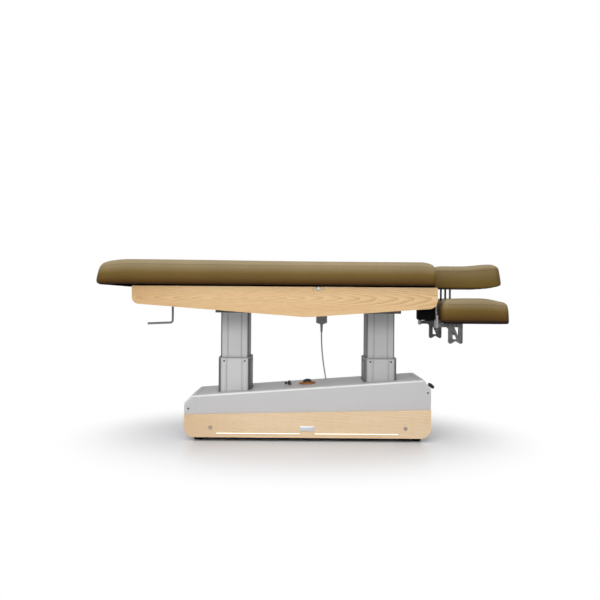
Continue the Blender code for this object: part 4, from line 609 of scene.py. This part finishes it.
def column_profile(name, colour, deep, side, groove):
    """Extruded aluminium, satin anodised: fine upright draw lines, two upright grooves on each long face.

    The faces towards the ends of the table are darker as painted shade, and the rounded corners darker still as a
    painted shadow line, most of all on the foot column. The head column is a shade darker as a whole. The grooves are
    painted shade, darker lines drawn 3 mm wide at the groove distance from each column's middle.
    """
    material, add, place = new_material(name)
    lines = streaks(add, place, (0.003, 0.003, 0.30), 2.0)
    tone = add("Mix", {FACTOR: lines, A: deep, B: colour}, **MIX)
    x = add("SeparateXYZ", {0: place})
    head = add("MapRange", {"Value": x, "From Min": -0.001, "From Max": 0.001})
    middle = add("MapRange", {"Value": head, "To Min": COLUMN_XS["foot"], "To Max": COLUMN_XS["head"]})
    # Painted shade in the grooves: darker lines drawn 3 mm wide
    off = distance(add, distance(add, x, middle), groove)
    groove_shade = add("MapRange", {"Value": off, "From Min": 0.0008, "From Max": 0.0018, "To Min": 0.35, "To Max": 0.0})
    tone = add("Mix", {FACTOR: groove_shade, A: tone, B: 0x8A8A8A}, **MIX)
    # Painted shade on the faces towards the ends of the table
    normal = add("NewGeometry", out="True Normal")
    facing = add("SeparateXYZ", {0: normal})
    facing = add("Math", {0: facing}, operation="ABSOLUTE")
    painted_side_shade = add("MapRange", {"Value": facing, "From Min": 0.25, "From Max": 0.75})
    tone = add("Mix", {FACTOR: painted_side_shade, A: tone, B: side}, **MIX)
    # Painted shadow line along the rounded corners, strongest on the foot column
    most = add("MapRange", {"Value": head, "To Min": 0.75, "To Max": 0.30})
    corner_shade_limit = add("MapRange", {"Value": facing, "From Min": 0.80, "From Max": 0.97, "To Min": most, "To Max": 0.0})
    corner = add("MapRange", {"Value": facing, "From Min": 0.15, "From Max": 0.50, "To Min": 0.0, "To Max": corner_shade_limit})
    tone = add("Mix", {FACTOR: corner, A: tone, B: 0x4C4C4C}, **MIX)
    tone = add("Mix", {FACTOR: head, A: tone, B: 0xF0F0F0}, **MIX, blend_type="MULTIPLY")
    bump = add("Bump", {"Height": lines, "Strength": 0.08, "Distance": 0.0002})
    return finish_material(material, {
        "Base Color": tone, "Metallic": 0.1, "Roughness": 0.55, "Normal": bump, "Specular IOR Level": 0.12})


def moulded(name, colour, deep, rough, grit=0.0012, gloss=0.5):
    """Moulded plastic or rubber with a spark-eroded texture, drawn coarser than real."""
    material, add, place = new_material(name)
    speck = add("TexNoise", {"Vector": place, "Scale": 1 / grit, "Detail": 3.0})
    cloud = add("TexNoise", {"Vector": place, "Scale": 1 / 0.05, "Detail": 2.0})
    tone = add("Mix", {FACTOR: cloud, A: deep, B: colour}, **MIX)
    bump = add("Bump", {"Height": speck, "Strength": 0.2, "Distance": 0.0003})
    shine = add("MapRange", {
        "Value": speck, "From Min": 0.3, "From Max": 0.7, "To Min": rough - 0.06, "To Max": rough + 0.08})
    return finish_material(material, {
        "Base Color": tone, "Roughness": shine, "Normal": bump, "Specular IOR Level": gloss, "IOR": 1.5})


def light_diffuser():
    """Opal acrylic over a row of diodes: brighter spots every 17 mm, and a lit band 4 mm high along the middle."""
    material, add, place = new_material("opal_acrylic_diffuser")
    axes = add("SeparateXYZ", {0: place}, None)
    wave = add("Math", {0: axes.outputs[0], 1: 2 * math.pi / 0.0167}, operation="MULTIPLY")
    wave = add("Math", {0: wave}, operation="COSINE")
    glow = add("MapRange", {"Value": wave, "From Min": -1.0, "From Max": 1.0, "To Min": 0.75, "To Max": 0.90})
    off = distance(add, axes.outputs[2], LIGHT_Z)
    band = add("MapRange", {"Value": off, "From Min": 0.0014, "From Max": 0.0026, "To Min": 1.0, "To Max": 0.0})
    glow = add("Math", {0: glow, 1: band}, operation="MULTIPLY")
    colour = add("Mix", {FACTOR: band, A: 0xE3C79C, B: 0xFFFBF2}, **MIX)
    return finish_material(material, {
        "Base Color": colour, "Roughness": 0.35, "IOR": 1.49,
        "Emission Color": 0xFFFAF0, "Emission Strength": glow})


def seen_share(owner):
    """1 for rays from the camera or through gloss or glass, which see plain white, and 0 for rays that light things."""
    rays = add_node(owner, "LightPath", out=None).outputs
    seen = add_node(owner, "Math", {0: rays["Is Camera Ray"], 1: rays["Is Glossy Ray"]}, operation="ADD")
    return add_node(owner, "Math", {0: seen, 1: rays["Is Transmission Ray"]}, operation="ADD", use_clamp=True)


def studio_floor():
    """Pale satin floor that keeps the object's shadow and fades to plain white further out, for what is seen."""
    material, add, place = new_material("studio_floor")
    shader = add("BsdfPrincipled", {"Base Color": 0xEBECEF, "Roughness": 0.28, "IOR": 1.20})
    fit = add("Mapping", {"Vector": place, "Scale": (1 / 1.45, 1 / 1.40, 0.0)})
    away = add("VectorMath", {0: fit}, "Value", operation="LENGTH")
    fade = add("MapRange", {"Value": away, "From Min": 0.42, "From Max": 1.0}, interpolation_type="SMOOTHSTEP")
    share = add("Math", {0: fade, 1: seen_share(material)}, operation="MULTIPLY")
    white = add("Emission", {"Color": 0xFFFFFF, "Strength": 1.0})
    mix = add("MixShader", {0: share, 1: shader, 2: white})
    add("OutputMaterial", {"Surface": mix}, None)
    return material


# Painted light on the pads: the low tone is painted shade, the high tone a painted highlight
UPHOLSTERY = leatherette("olive_leatherette", 0x4A2D00, 0x6B5524, 0x978768)
LINING_AND_SHADE = lining_and_shade_cloth()
THREAD = moulded("polyester_thread", 0x6A5730, 0x5C4A26, 0.6)
RAIL_OAK = oak("light_oak_rails", "rail_far", (0.0, -0.2534, -0.800), 0.64, 0.9, 0xE3C294, 0xD8B27E, 0xB4844C)
SKIRT_OAK = oak("light_oak_skirt", "skirt_far", (0.0, -0.1200, -0.260), 0.50, 1.0, 0xF1D9B8, 0xE9CDA7, 0xC8A06E)
BOARD = shade_stained_board()
# The last colour is the painted highlight on the cover's rounded long edges
COVER = painted_steel("grey_powder_coat", 0xCAC9C9, 0xC5C4C5, 0.45, 0.4, COVER_SEAMS, 0xEAEAE9)
BLACK_STEEL = painted_steel("black_powder_coat", 0x060606, 0x040404, 0.7, 0.05)
GREY_STEEL = painted_steel("dark_grey_powder_coat", 0x565656, 0x4A4A4A, 0.5, 0.3)
# The third colour is painted shade on the faces towards the table's ends
COLUMN_LOWER = column_profile("anodised_aluminium_lower", 0xD5D5D5, 0xCBCBCB, 0x8C8C8C, 0.052)
COLUMN_UPPER = column_profile("anodised_aluminium_upper", 0xD0D0D0, 0xC5C5C5, 0x8C8C8C, 0.043)
ALLOY = drawn_metal("satin_cast_alloy", 0x727272, 0x4C4C4C, 0.45, (0.004, 0.004, 0.02), 0.3, 0.3)
PALE_ALLOY = drawn_metal("satin_pressed_alloy", 0xA6A3A6, 0x8E8C90, 0.45, (0.004, 0.004, 0.02), 0.3, 0.3)
STEEL = drawn_metal("zinc_plated_steel", 0xB4B4B2, 0x9A9A98, 0.32, (0.03, 0.002, 0.002))
OXIDE = drawn_metal("black_oxide_steel", 0x4A4A4A, 0x3A3A3A, 0.42, (0.03, 0.002, 0.002), 0.5, 0.3)
LEVER_STEEL = drawn_metal("satin_bent_rod", 0x7C7C7C, 0x626262, 0.42, (0.03, 0.002, 0.002), 0.4, 0.3)
CAP_METAL = drawn_metal("bronze_grey_cap", 0xC6B4A8, 0x9E8C82, 0.40, (0.004, 0.004, 0.004), 0.5, 0.3)
LEAF_METAL = drawn_metal("nickel_brass_leaf", 0xD2B48E, 0xA88A66, 0.42, (0.004, 0.002, 0.002), 0.4, 0.3)
COPPER = drawn_metal("copper_coloured_ring", 0xC28148, 0xAA6C36, 0.40, (0.004, 0.004, 0.004), 0.5)
BLACK = moulded("black_abs", 0x181818, 0x101010, 0.46)
GREY = moulded("grey_abs", 0xB4B3B0, 0xA6A5A2, 0.50, gloss=0.3)
COLLAR_GREY = moulded("grey_nylon", 0xA0A0A0, 0x909090, 0.55, gloss=0.2)
KNOB_GREY = moulded("pale_grey_abs", 0x8E8E8C, 0x7C7C7A, 0.45)
RUBBER = moulded("black_rubber", 0x131313, 0x0C0C0C, 0.72, 0.002, 0.25)
PVC = moulded("grey_pvc_sheath", 0xC6C5C3, 0xB8B7B5, 0.55)
LIGHT = light_diffuser()
PLATE = drawn_metal("brushed_steel_plate", 0xD9DDE2, 0xC9CDD2, 0.34, (0.03, 0.0007, 0.0007))

NODE_FINISHES = {
    RAIL_OAK: ("rail_",),
    SKIRT_OAK: ("skirt_",),
    # The near black boards also stand in for painted shade in the line under the mattress
    BOARD: ("leg_platform", "back_platform"),
    COVER: ("base_cover", "end_cover_"),
    BLACK_STEEL: ("base_chassis", "column_drive_", "release_fork", "head_carrier"),
    GREY_STEEL: ("column_bracket_",),
    COLUMN_LOWER: ("column_outer_", "column_middle_"),
    COLUMN_UPPER: ("column_inner_",),
    ALLOY: ("head_support", "arm_bracket_", "arm_board_"),
    PALE_ALLOY: ("head_mount",),
    STEEL: ("hinge_plate_", "pivot_bolt_", "actuator_rod", "back_lever"),
    LEVER_STEEL: ("release_lever",),
    COPPER: ("foot_disc",),
    BLACK: ("control_box", "foot_button", "toe_lever", "end_lever"),
    GREY: ("actuator_body", "junction_box"),
    COLLAR_GREY: ("column_collar_",),
    RUBBER: ("foot_foot_", "foot_head_", "base_gland"),
    LIGHT: ("light_strip_",),
}


def dress_nodes():
    """Gives each CAD node that stays in view its finish."""
    for material, starts in NODE_FINISHES.items():
        for name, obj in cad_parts.items():
            if name.startswith(starts):
                obj.data.materials.clear()
                obj.data.materials.append(material)


# Cord

def add_cable():
    """A round sheath carried along the route; its rings stand square to the route's direction."""
    path = smooth_line(CABLE_ROUTE, 61)
    along = np.gradient(path, axis=0)
    along /= np.linalg.norm(along, axis=1, keepdims=True)
    u = np.cross(along, np.array([1.0, 0.0, 0.0]))
    u /= np.linalg.norm(u, axis=1, keepdims=True)
    v = np.cross(along, u)
    sides = 14
    angle = np.linspace(0.0, 2 * np.pi, sides, endpoint=False)[None, :, None]
    rings = path[:, None] + CABLE_DIAMETER / 2 * (np.cos(angle) * u[:, None] + np.sin(angle) * v[:, None])
    ends = [np.repeat(path[i][None, None], sides, 1) for i in (0, -1)]
    rings = np.concatenate([ends[0], rings, ends[1]])
    obj = add_mesh("hanging_cable", rings, grid_quads(len(rings), sides), PVC)
    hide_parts("cable")
    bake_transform(obj)


# Upholstery

def add_mattress():
    """One padded top over both boards: round sides that turn under, a seam below the top edge, a low crown.

    The top edge falls over the last 190 mm at the foot end and the last 70 mm at the head end.
    """
    low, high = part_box("mattress_leg")[0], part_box("mattress_back")[1]
    side = [(0.030, 0.0), (0.014, 0.003), (0.004, 0.011), (0.0, 0.026), (0.002, 0.046), (0.006, 0.068),
            (0.0105, 0.088), (0.016, 0.105), (0.025, 0.119), (0.037, 0.129), (0.055, 0.135)]

    def lift(x):
        foot = np.clip((x - low[0]) / 0.19, 0.0, 1.0)
        slope = 0.006 * (1 - step((x + 0.95) / 1.05))
        return slope - 0.030 * (1 - foot) ** 2.2 - 0.012 * step((x - high[0] + 0.072) / 0.070)

    points, held, heights = pad_surface(
        (low[0], high[0] + 0.001, low[1], high[1]), BED + BASE_GAP, corner=(0.045, 0.024), draw_in=0.005, side=side,
        crown=0.0095, counts=(150, 60, 9), spacing=0.0095, seam=0.105, lift=lift, square=0.6)
    obj, thread = sewn_pad("mattress_cover", points, held, heights, groove=0.0014, levels=0)
    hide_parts("mattress_leg", "mattress_fold", "mattress_back")
    for piece in (obj, thread):
        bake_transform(piece)


def add_head_cushion():
    """A padded ring about the face opening: outer side line, crowned bridge to the oval rim, wall of the opening.

    Every row is a closed loop; rows run up the outside, over the top, down the opening and back underneath, where
    a pocket takes the board. Past the board the bottom rises as a power of the distance, and the top rises too.
    """
    low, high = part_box("head_cushion")
    board_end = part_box("head_support")[1][0]
    size = (low[0] - 0.003, high[0] - 0.003, low[1], high[1])
    counts, corner, pocket = (28, 24, 9), (0.026, 0.045), 0.0085
    side = [(0.010, 0.0), (0.003, 0.002), (0.0, 0.009), (0.001, 0.024), (0.004, 0.048), (0.008, 0.072),
            (0.0115, 0.092), (0.015, 0.105), (0.022, 0.117), (0.034, 0.1245)]
    rim_inset, rim_height = side[-1]
    rows, seam = side_rows(side, spacing=0.007, seam=0.097)
    outer = np.stack([plan_ring(size, corner, 0.004, inset, counts) for inset, _ in rows])
    hole_x, length, width = FACE_HOLE
    edge = outer[-1]
    angle = np.arctan2(edge[:, 1] / high[1], (edge[:, 0] - hole_x) / (high[0] - low[0]) * 2)
    oval = [np.stack([hole_x + (length + g) * np.cos(angle), (width + g) * np.sin(angle)], 1)
            for g in (0.024, 0.010, 0.003, 0.0, 0.0, 0.001, 0.003)]
    share = np.linspace(0.0, 1.0, 10)[1:-1, None, None]
    bridge = edge * (1 - share) + oval[0] * share
    wall = plan_ring((low[0], high[0], low[1], high[1]), (0.045, 0.045), 0.0, 0.0195, counts)
    plan = np.concatenate([outer, bridge, np.stack(oval + [(oval[-1] + wall) / 2, wall, wall])])
    s = share[:, 0, 0]
    crown = rim_height + 0.0085 * 4 * s * (1 - s) + 0.0015 * (1 - s)
    inside = [0.123, 0.1175, 0.108, 0.085, 0.030, 0.014, pocket]
    heights = np.concatenate([rows[:, 1], crown, inside, [pocket, pocket, 0.0]])
    x = plan[..., 0]
    inner = (1 - step((x - size[0] - 0.02) / 0.08)) * (1 - step((np.abs(plan[..., 1]) - 0.12) / 0.05) * 0.4)
    insets = np.concatenate([rows[:, 0], rim_inset * (1 - s), np.zeros(len(inside) + 3)])
    plan[..., 0] -= 0.6 * insets[:, None] * inner
    rise = -0.005 + 0.0135 * step((x - 0.90) / 0.17)
    heel = 0.022 * np.clip((x - board_end) / (high[0] - board_end), 0.0, 1.0) ** 1.5
    above = np.clip(heights / rim_height, 0.0, 1.0)[:, None]
    z = low[2] + BASE_GAP + heights[:, None] + rise * above + heel * (1 - above)
    z[-4:-1] -= (pocket - 0.0006) * step((x[-4:-1] - board_end - 0.002) / 0.015)
    points = np.concatenate([plan, z[..., None]], -1)
    total = points.shape[0]
    held = [0, 1, 2] + list(range(total - 5, total)) + [seam]
    obj, thread = sewn_pad(
        "face_cushion_cover", points, held, heights, groove=0.0008, levels=1, painted_light=HEAD_PAINTED_LIGHT, close_rows=True)
    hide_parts("head_cushion")
    for piece in (obj, thread):
        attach(piece, "head_rest")


def add_arm_cushions():
    """Two lowered arm pads, whose tops fall away towards their outer ends, with a pocket for the board below."""
    side = [(0.010, 0.0), (0.003, 0.002), (0.0, 0.009), (0.0005, 0.034), (0.002, 0.066), (0.005, 0.092),
            (0.009, 0.108), (0.017, 0.121), (0.032, 0.130)]

    def lift(x):
        return -0.011 * step((x - 0.97) / 0.140)

    for name in ("near", "far"):
        low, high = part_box(f"arm_cushion_{name}")
        points, held, heights = pad_surface(
            (low[0], high[0] - 0.001, low[1], high[1]), low[2] + BASE_GAP, corner=(0.030, 0.022), draw_in=0.003,
            side=side, crown=0.009, counts=(40, 18, 8), spacing=0.007, seam=0.100, lift=lift, pocket=(0.0295, 0.0105))
        obj, thread = sewn_pad(
            f"arm_pad_cover_{name}", points, held, heights, groove=0.0009, levels=1, painted_light=ARM_PAINTED_LIGHT)
        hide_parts(f"arm_cushion_{name}")
        for piece in (obj, thread):
            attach(piece, f"arm_{name}")


# Fittings

NEAR_FAR = (-1.0, 1.0)

# Fixings on the long sides as (x, z), and those of the columns and the mount plate
SKIRT_CAPS = ((-0.516, 0.0775), (0.574, 0.0775))
END_COVER_SCREWS = ((-0.6420, 0.179), (0.700, 0.2767))
COLUMN_SCREW_X, COLUMN_SCREW_Y, COLUMN_SCREW_DROP = 0.0594, 0.05, 0.015
MOUNT_SCREW_YS, MOUNT_SCREW_DROP = (-0.24, -0.08, 0.08, 0.24), 0.020


def add_screws(name, form, material, body, places):
    """Screws of one form, set on (place, out) pairs, that ride on one body."""
    points, quads = set_out(form, [place for place, _ in places], [out for _, out in places])
    obj = add_mesh(name, points, quads, material)
    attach(obj, body)


def add_fixings():
    """Screws and caps where the photograph shows them, on the same places of the far side, and on the mount plate."""
    cap = turned([(0.0, 0.0), (0.0118, 0.0), (0.0118, 0.0014), (0.0106, 0.0022), (0.0092, 0.0022), (0.0086, 0.0006),
                  (0.0076, 0.0006), (0.0070, 0.0018), (0.0042, 0.0021), (0.0036, 0.0018), (0.0034, 0.0005),
                  (0.0, 0.0005)], 32)
    small = socket_screw(0.0050, 0.0024, 0.0022)
    skirt = [((x, s * SKIRT_FACE, z), (0.0, s, 0.0)) for s in NEAR_FAR for x, z in SKIRT_CAPS]
    add_screws("skirt_fixings", cap, CAP_METAL, "base", skirt)
    ends = [((x, s * COVER_FACE, z), (0.0, s, 0.0)) for s in NEAR_FAR for x, z in END_COVER_SCREWS]
    add_screws("end_cover_screws", small, OXIDE, "base", ends)
    for end, x in COLUMN_XS.items():
        low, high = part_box(f"column_collar_{end}")
        z = low[2] - COLUMN_SCREW_DROP
        places = [((x + t * COLUMN_SCREW_X, s * high[1], z), (0.0, s, 0.0)) for s in NEAR_FAR for t in NEAR_FAR]
        places += [((x + s * (high[0] - x), t * COLUMN_SCREW_Y, z), (s, 0.0, 0.0)) for s in NEAR_FAR for t in NEAR_FAR]
        add_screws(f"column_screws_{end}", small, OXIDE, f"middle_{end}", places)
    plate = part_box("head_mount")[1]
    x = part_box("arm_bracket_near")[0][0] - 0.0003
    mount = [((x, y, plate[2] - MOUNT_SCREW_DROP), (1.0, 0.0, 0.0)) for y in MOUNT_SCREW_YS]
    add_screws("mount_plate_screws", small, OXIDE, "back", mount)


def add_plate():
    """The bare plate on the skirt: rings of a rounded rectangle, stepped out from the wood with a soft edge."""
    x, z, half_width, half_height = 0.0239, 0.0735, 0.0415, 0.0133
    size = (x - half_width, x + half_width, z - half_height, z + half_height)
    rows = [(0.0, 0.0), (0.0, 0.0012), (0.0004, 0.0017), (0.0012, 0.0020)]
    rings = [plan_ring(size, (0.004, 0.004), 0.0, inset, (12, 5, 6)) for inset, _ in rows]
    middle = np.repeat(np.array([[x, z]]), len(rings[0]), 0)
    plan = np.stack([middle] + rings + [middle])
    out = np.array([0.0] + [o for _, o in rows] + [rows[-1][1]])[:, None] + 0 * plan[..., 0]
    points = np.stack([plan[..., 0], -SKIRT_FACE - out, plan[..., 1]], -1)
    obj = add_mesh("bare_skirt_plate", points, grid_quads(points.shape[0], points.shape[1]), PLATE)
    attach(obj, "base")


def add_hinge_leaves():
    """A leaf about each back pivot: a rectangle's ray length from the pivot outside, a circle inside, open on top.

    Columns are directions from the pivot, swept below it; rows run from the circle out to the rectangle and back.
    """
    hole, half_width, drop, thick = 0.0128, 0.033, 0.0135, 0.0022
    screw = socket_screw(0.0052, 0.0022, 0.0024)
    rise = RAIL_TOP - 0.0004 - HINGE_Z
    start = math.asin(rise / hole)
    angle = np.linspace(start, -math.pi - start, 73)
    across, up = np.cos(angle), np.sin(angle)
    tall = np.where(up > 0, rise, drop)
    reach = np.minimum(half_width / np.maximum(np.abs(across), 1e-6), tall / np.maximum(np.abs(up), 1e-6))
    reach = np.maximum(reach, hole)
    rows = np.stack([hole + 0 * reach, hole + 0 * reach, reach - 0.06 * (reach - hole), reach, reach])
    outs = np.array([0.0, thick, thick, 0.6 * thick, 0.0])[:, None] + 0 * rows
    for name, side in zip(("near", "far"), NEAR_FAR):
        points = np.stack([HINGE_X + rows * across, side * (RAIL_FACE + outs), HINGE_Z + rows * up], -1)
        quads = grid_quads(5, len(angle), close_rows=True, close_columns=False)
        leaf = add_mesh(f"hinge_leaf_{name}", points, quads, LEAF_METAL)
        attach(leaf, "top")
        places = [((HINGE_X + dx, side * (RAIL_FACE + thick), HINGE_Z - 0.003), (0.0, side, 0.0))
                  for dx in (-0.025, 0.025)]
        add_screws(f"hinge_leaf_screws_{name}", screw, LEAF_METAL, "top", places)


def add_knobs():
    """Clamp knobs with eight shallow flutes: the radius of the grip follows 1 + 0.05 cos(8 angle)."""
    for name, side in zip(("near", "far"), NEAR_FAR):
        low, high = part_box(f"arm_knob_{name}")
        seat = high[1] if side > 0 else low[1]
        length = high[1] - low[1]
        radius = (high[0] - low[0]) / 2 * 0.95
        profile = [(0.0, 0.0), (0.5, 0.0), (0.5, 0.28), (0.85, 0.33), (0.97, 0.40), (1.0, 0.5), (1.0, 0.82),
                   (0.95, 0.92), (0.82, 0.98), (0.45, 1.0), (0.40, 0.97), (0.0, 0.97)]
        profile = [(r * radius, h * length) for r, h in profile]
        form = turned(profile, 48, lambda a, v: 1 + 0.05 * np.cos(8 * a) * ((v >= 3) & (v <= 8)))
        place = ((low[0] + high[0]) / 2, seat, (low[2] + high[2]) / 2)
        obj = add_mesh(f"clamp_knob_{name}", *set_out(form, [place], [(0.0, -side, 0.0)]), KNOB_GREY)
        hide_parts(f"arm_knob_{name}")
        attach(obj, f"knob_{name}")


# Studio

def add_studio():
    """White surroundings, a pale floor, a wide soft light overhead and a soft one from the front and above.

    The surroundings give less light from the head end than from elsewhere.
    """
    size = 30.0
    corners = np.array([[-size, -size, 0.0], [size, -size, 0.0], [size, size, 0.0], [-size, size, 0.0]])
    add_mesh("studio_floor", corners, np.array([[0, 1, 2, 3]]), studio_floor())
    world = bpy.data.worlds.new("studio")
    world.use_nodes = True
    world.node_tree.nodes.clear()
    ray = add_node(world, "TexCoord", out="Generated")
    end = add_node(world, "SeparateXYZ", {0: ray})
    fill = add_node(world, "MapRange", {
        "Value": end, "From Min": 0.20, "From Max": 0.80, "To Min": 0.52, "To Max": 0.04})
    level = add_node(world, "MapRange", {"Value": seen_share(world), "To Min": fill, "To Max": 1.0})
    sky = add_node(world, "Background", {"Color": 0xFFFFFF, "Strength": level})
    add_node(world, "OutputWorld", {"Surface": sky}, None)
    scene.world = world
    # Name, place, aim, width, height and watts
    lamps = (
        ("overhead_softbox", (0.0, -1.1, 3.4), (0.0, 0.0, 0.4), 3.6, 2.4, 50.0),
        ("front_softbox", (-0.4, -4.2, 2.3), (0.0, 0.0, 0.5), 3.0, 1.6, 70.0),
    )
    for name, place, aim, wide, high, power in lamps:
        lamp = bpy.data.lights.new(name, "AREA")
        lamp.shape = "RECTANGLE"
        lamp.size, lamp.size_y, lamp.energy = wide, high, power
        obj = bpy.data.objects.new(name, lamp)
        u, v, w = axes_of(np.array(place) - np.array(aim))
        obj.matrix_world = Matrix([(*u, 0), (*v, 0), (*w, 0), (0, 0, 0, 1)]).transposed()
        obj.location = place
        scene.collection.objects.link(obj)
    scene.view_settings.view_transform = "Standard"


add_camera()
dress_nodes()
add_cable()
add_mattress()
add_head_cushion()
add_arm_cushions()
add_fixings()
add_plate()
add_hinge_leaves()
add_knobs()
add_studio()
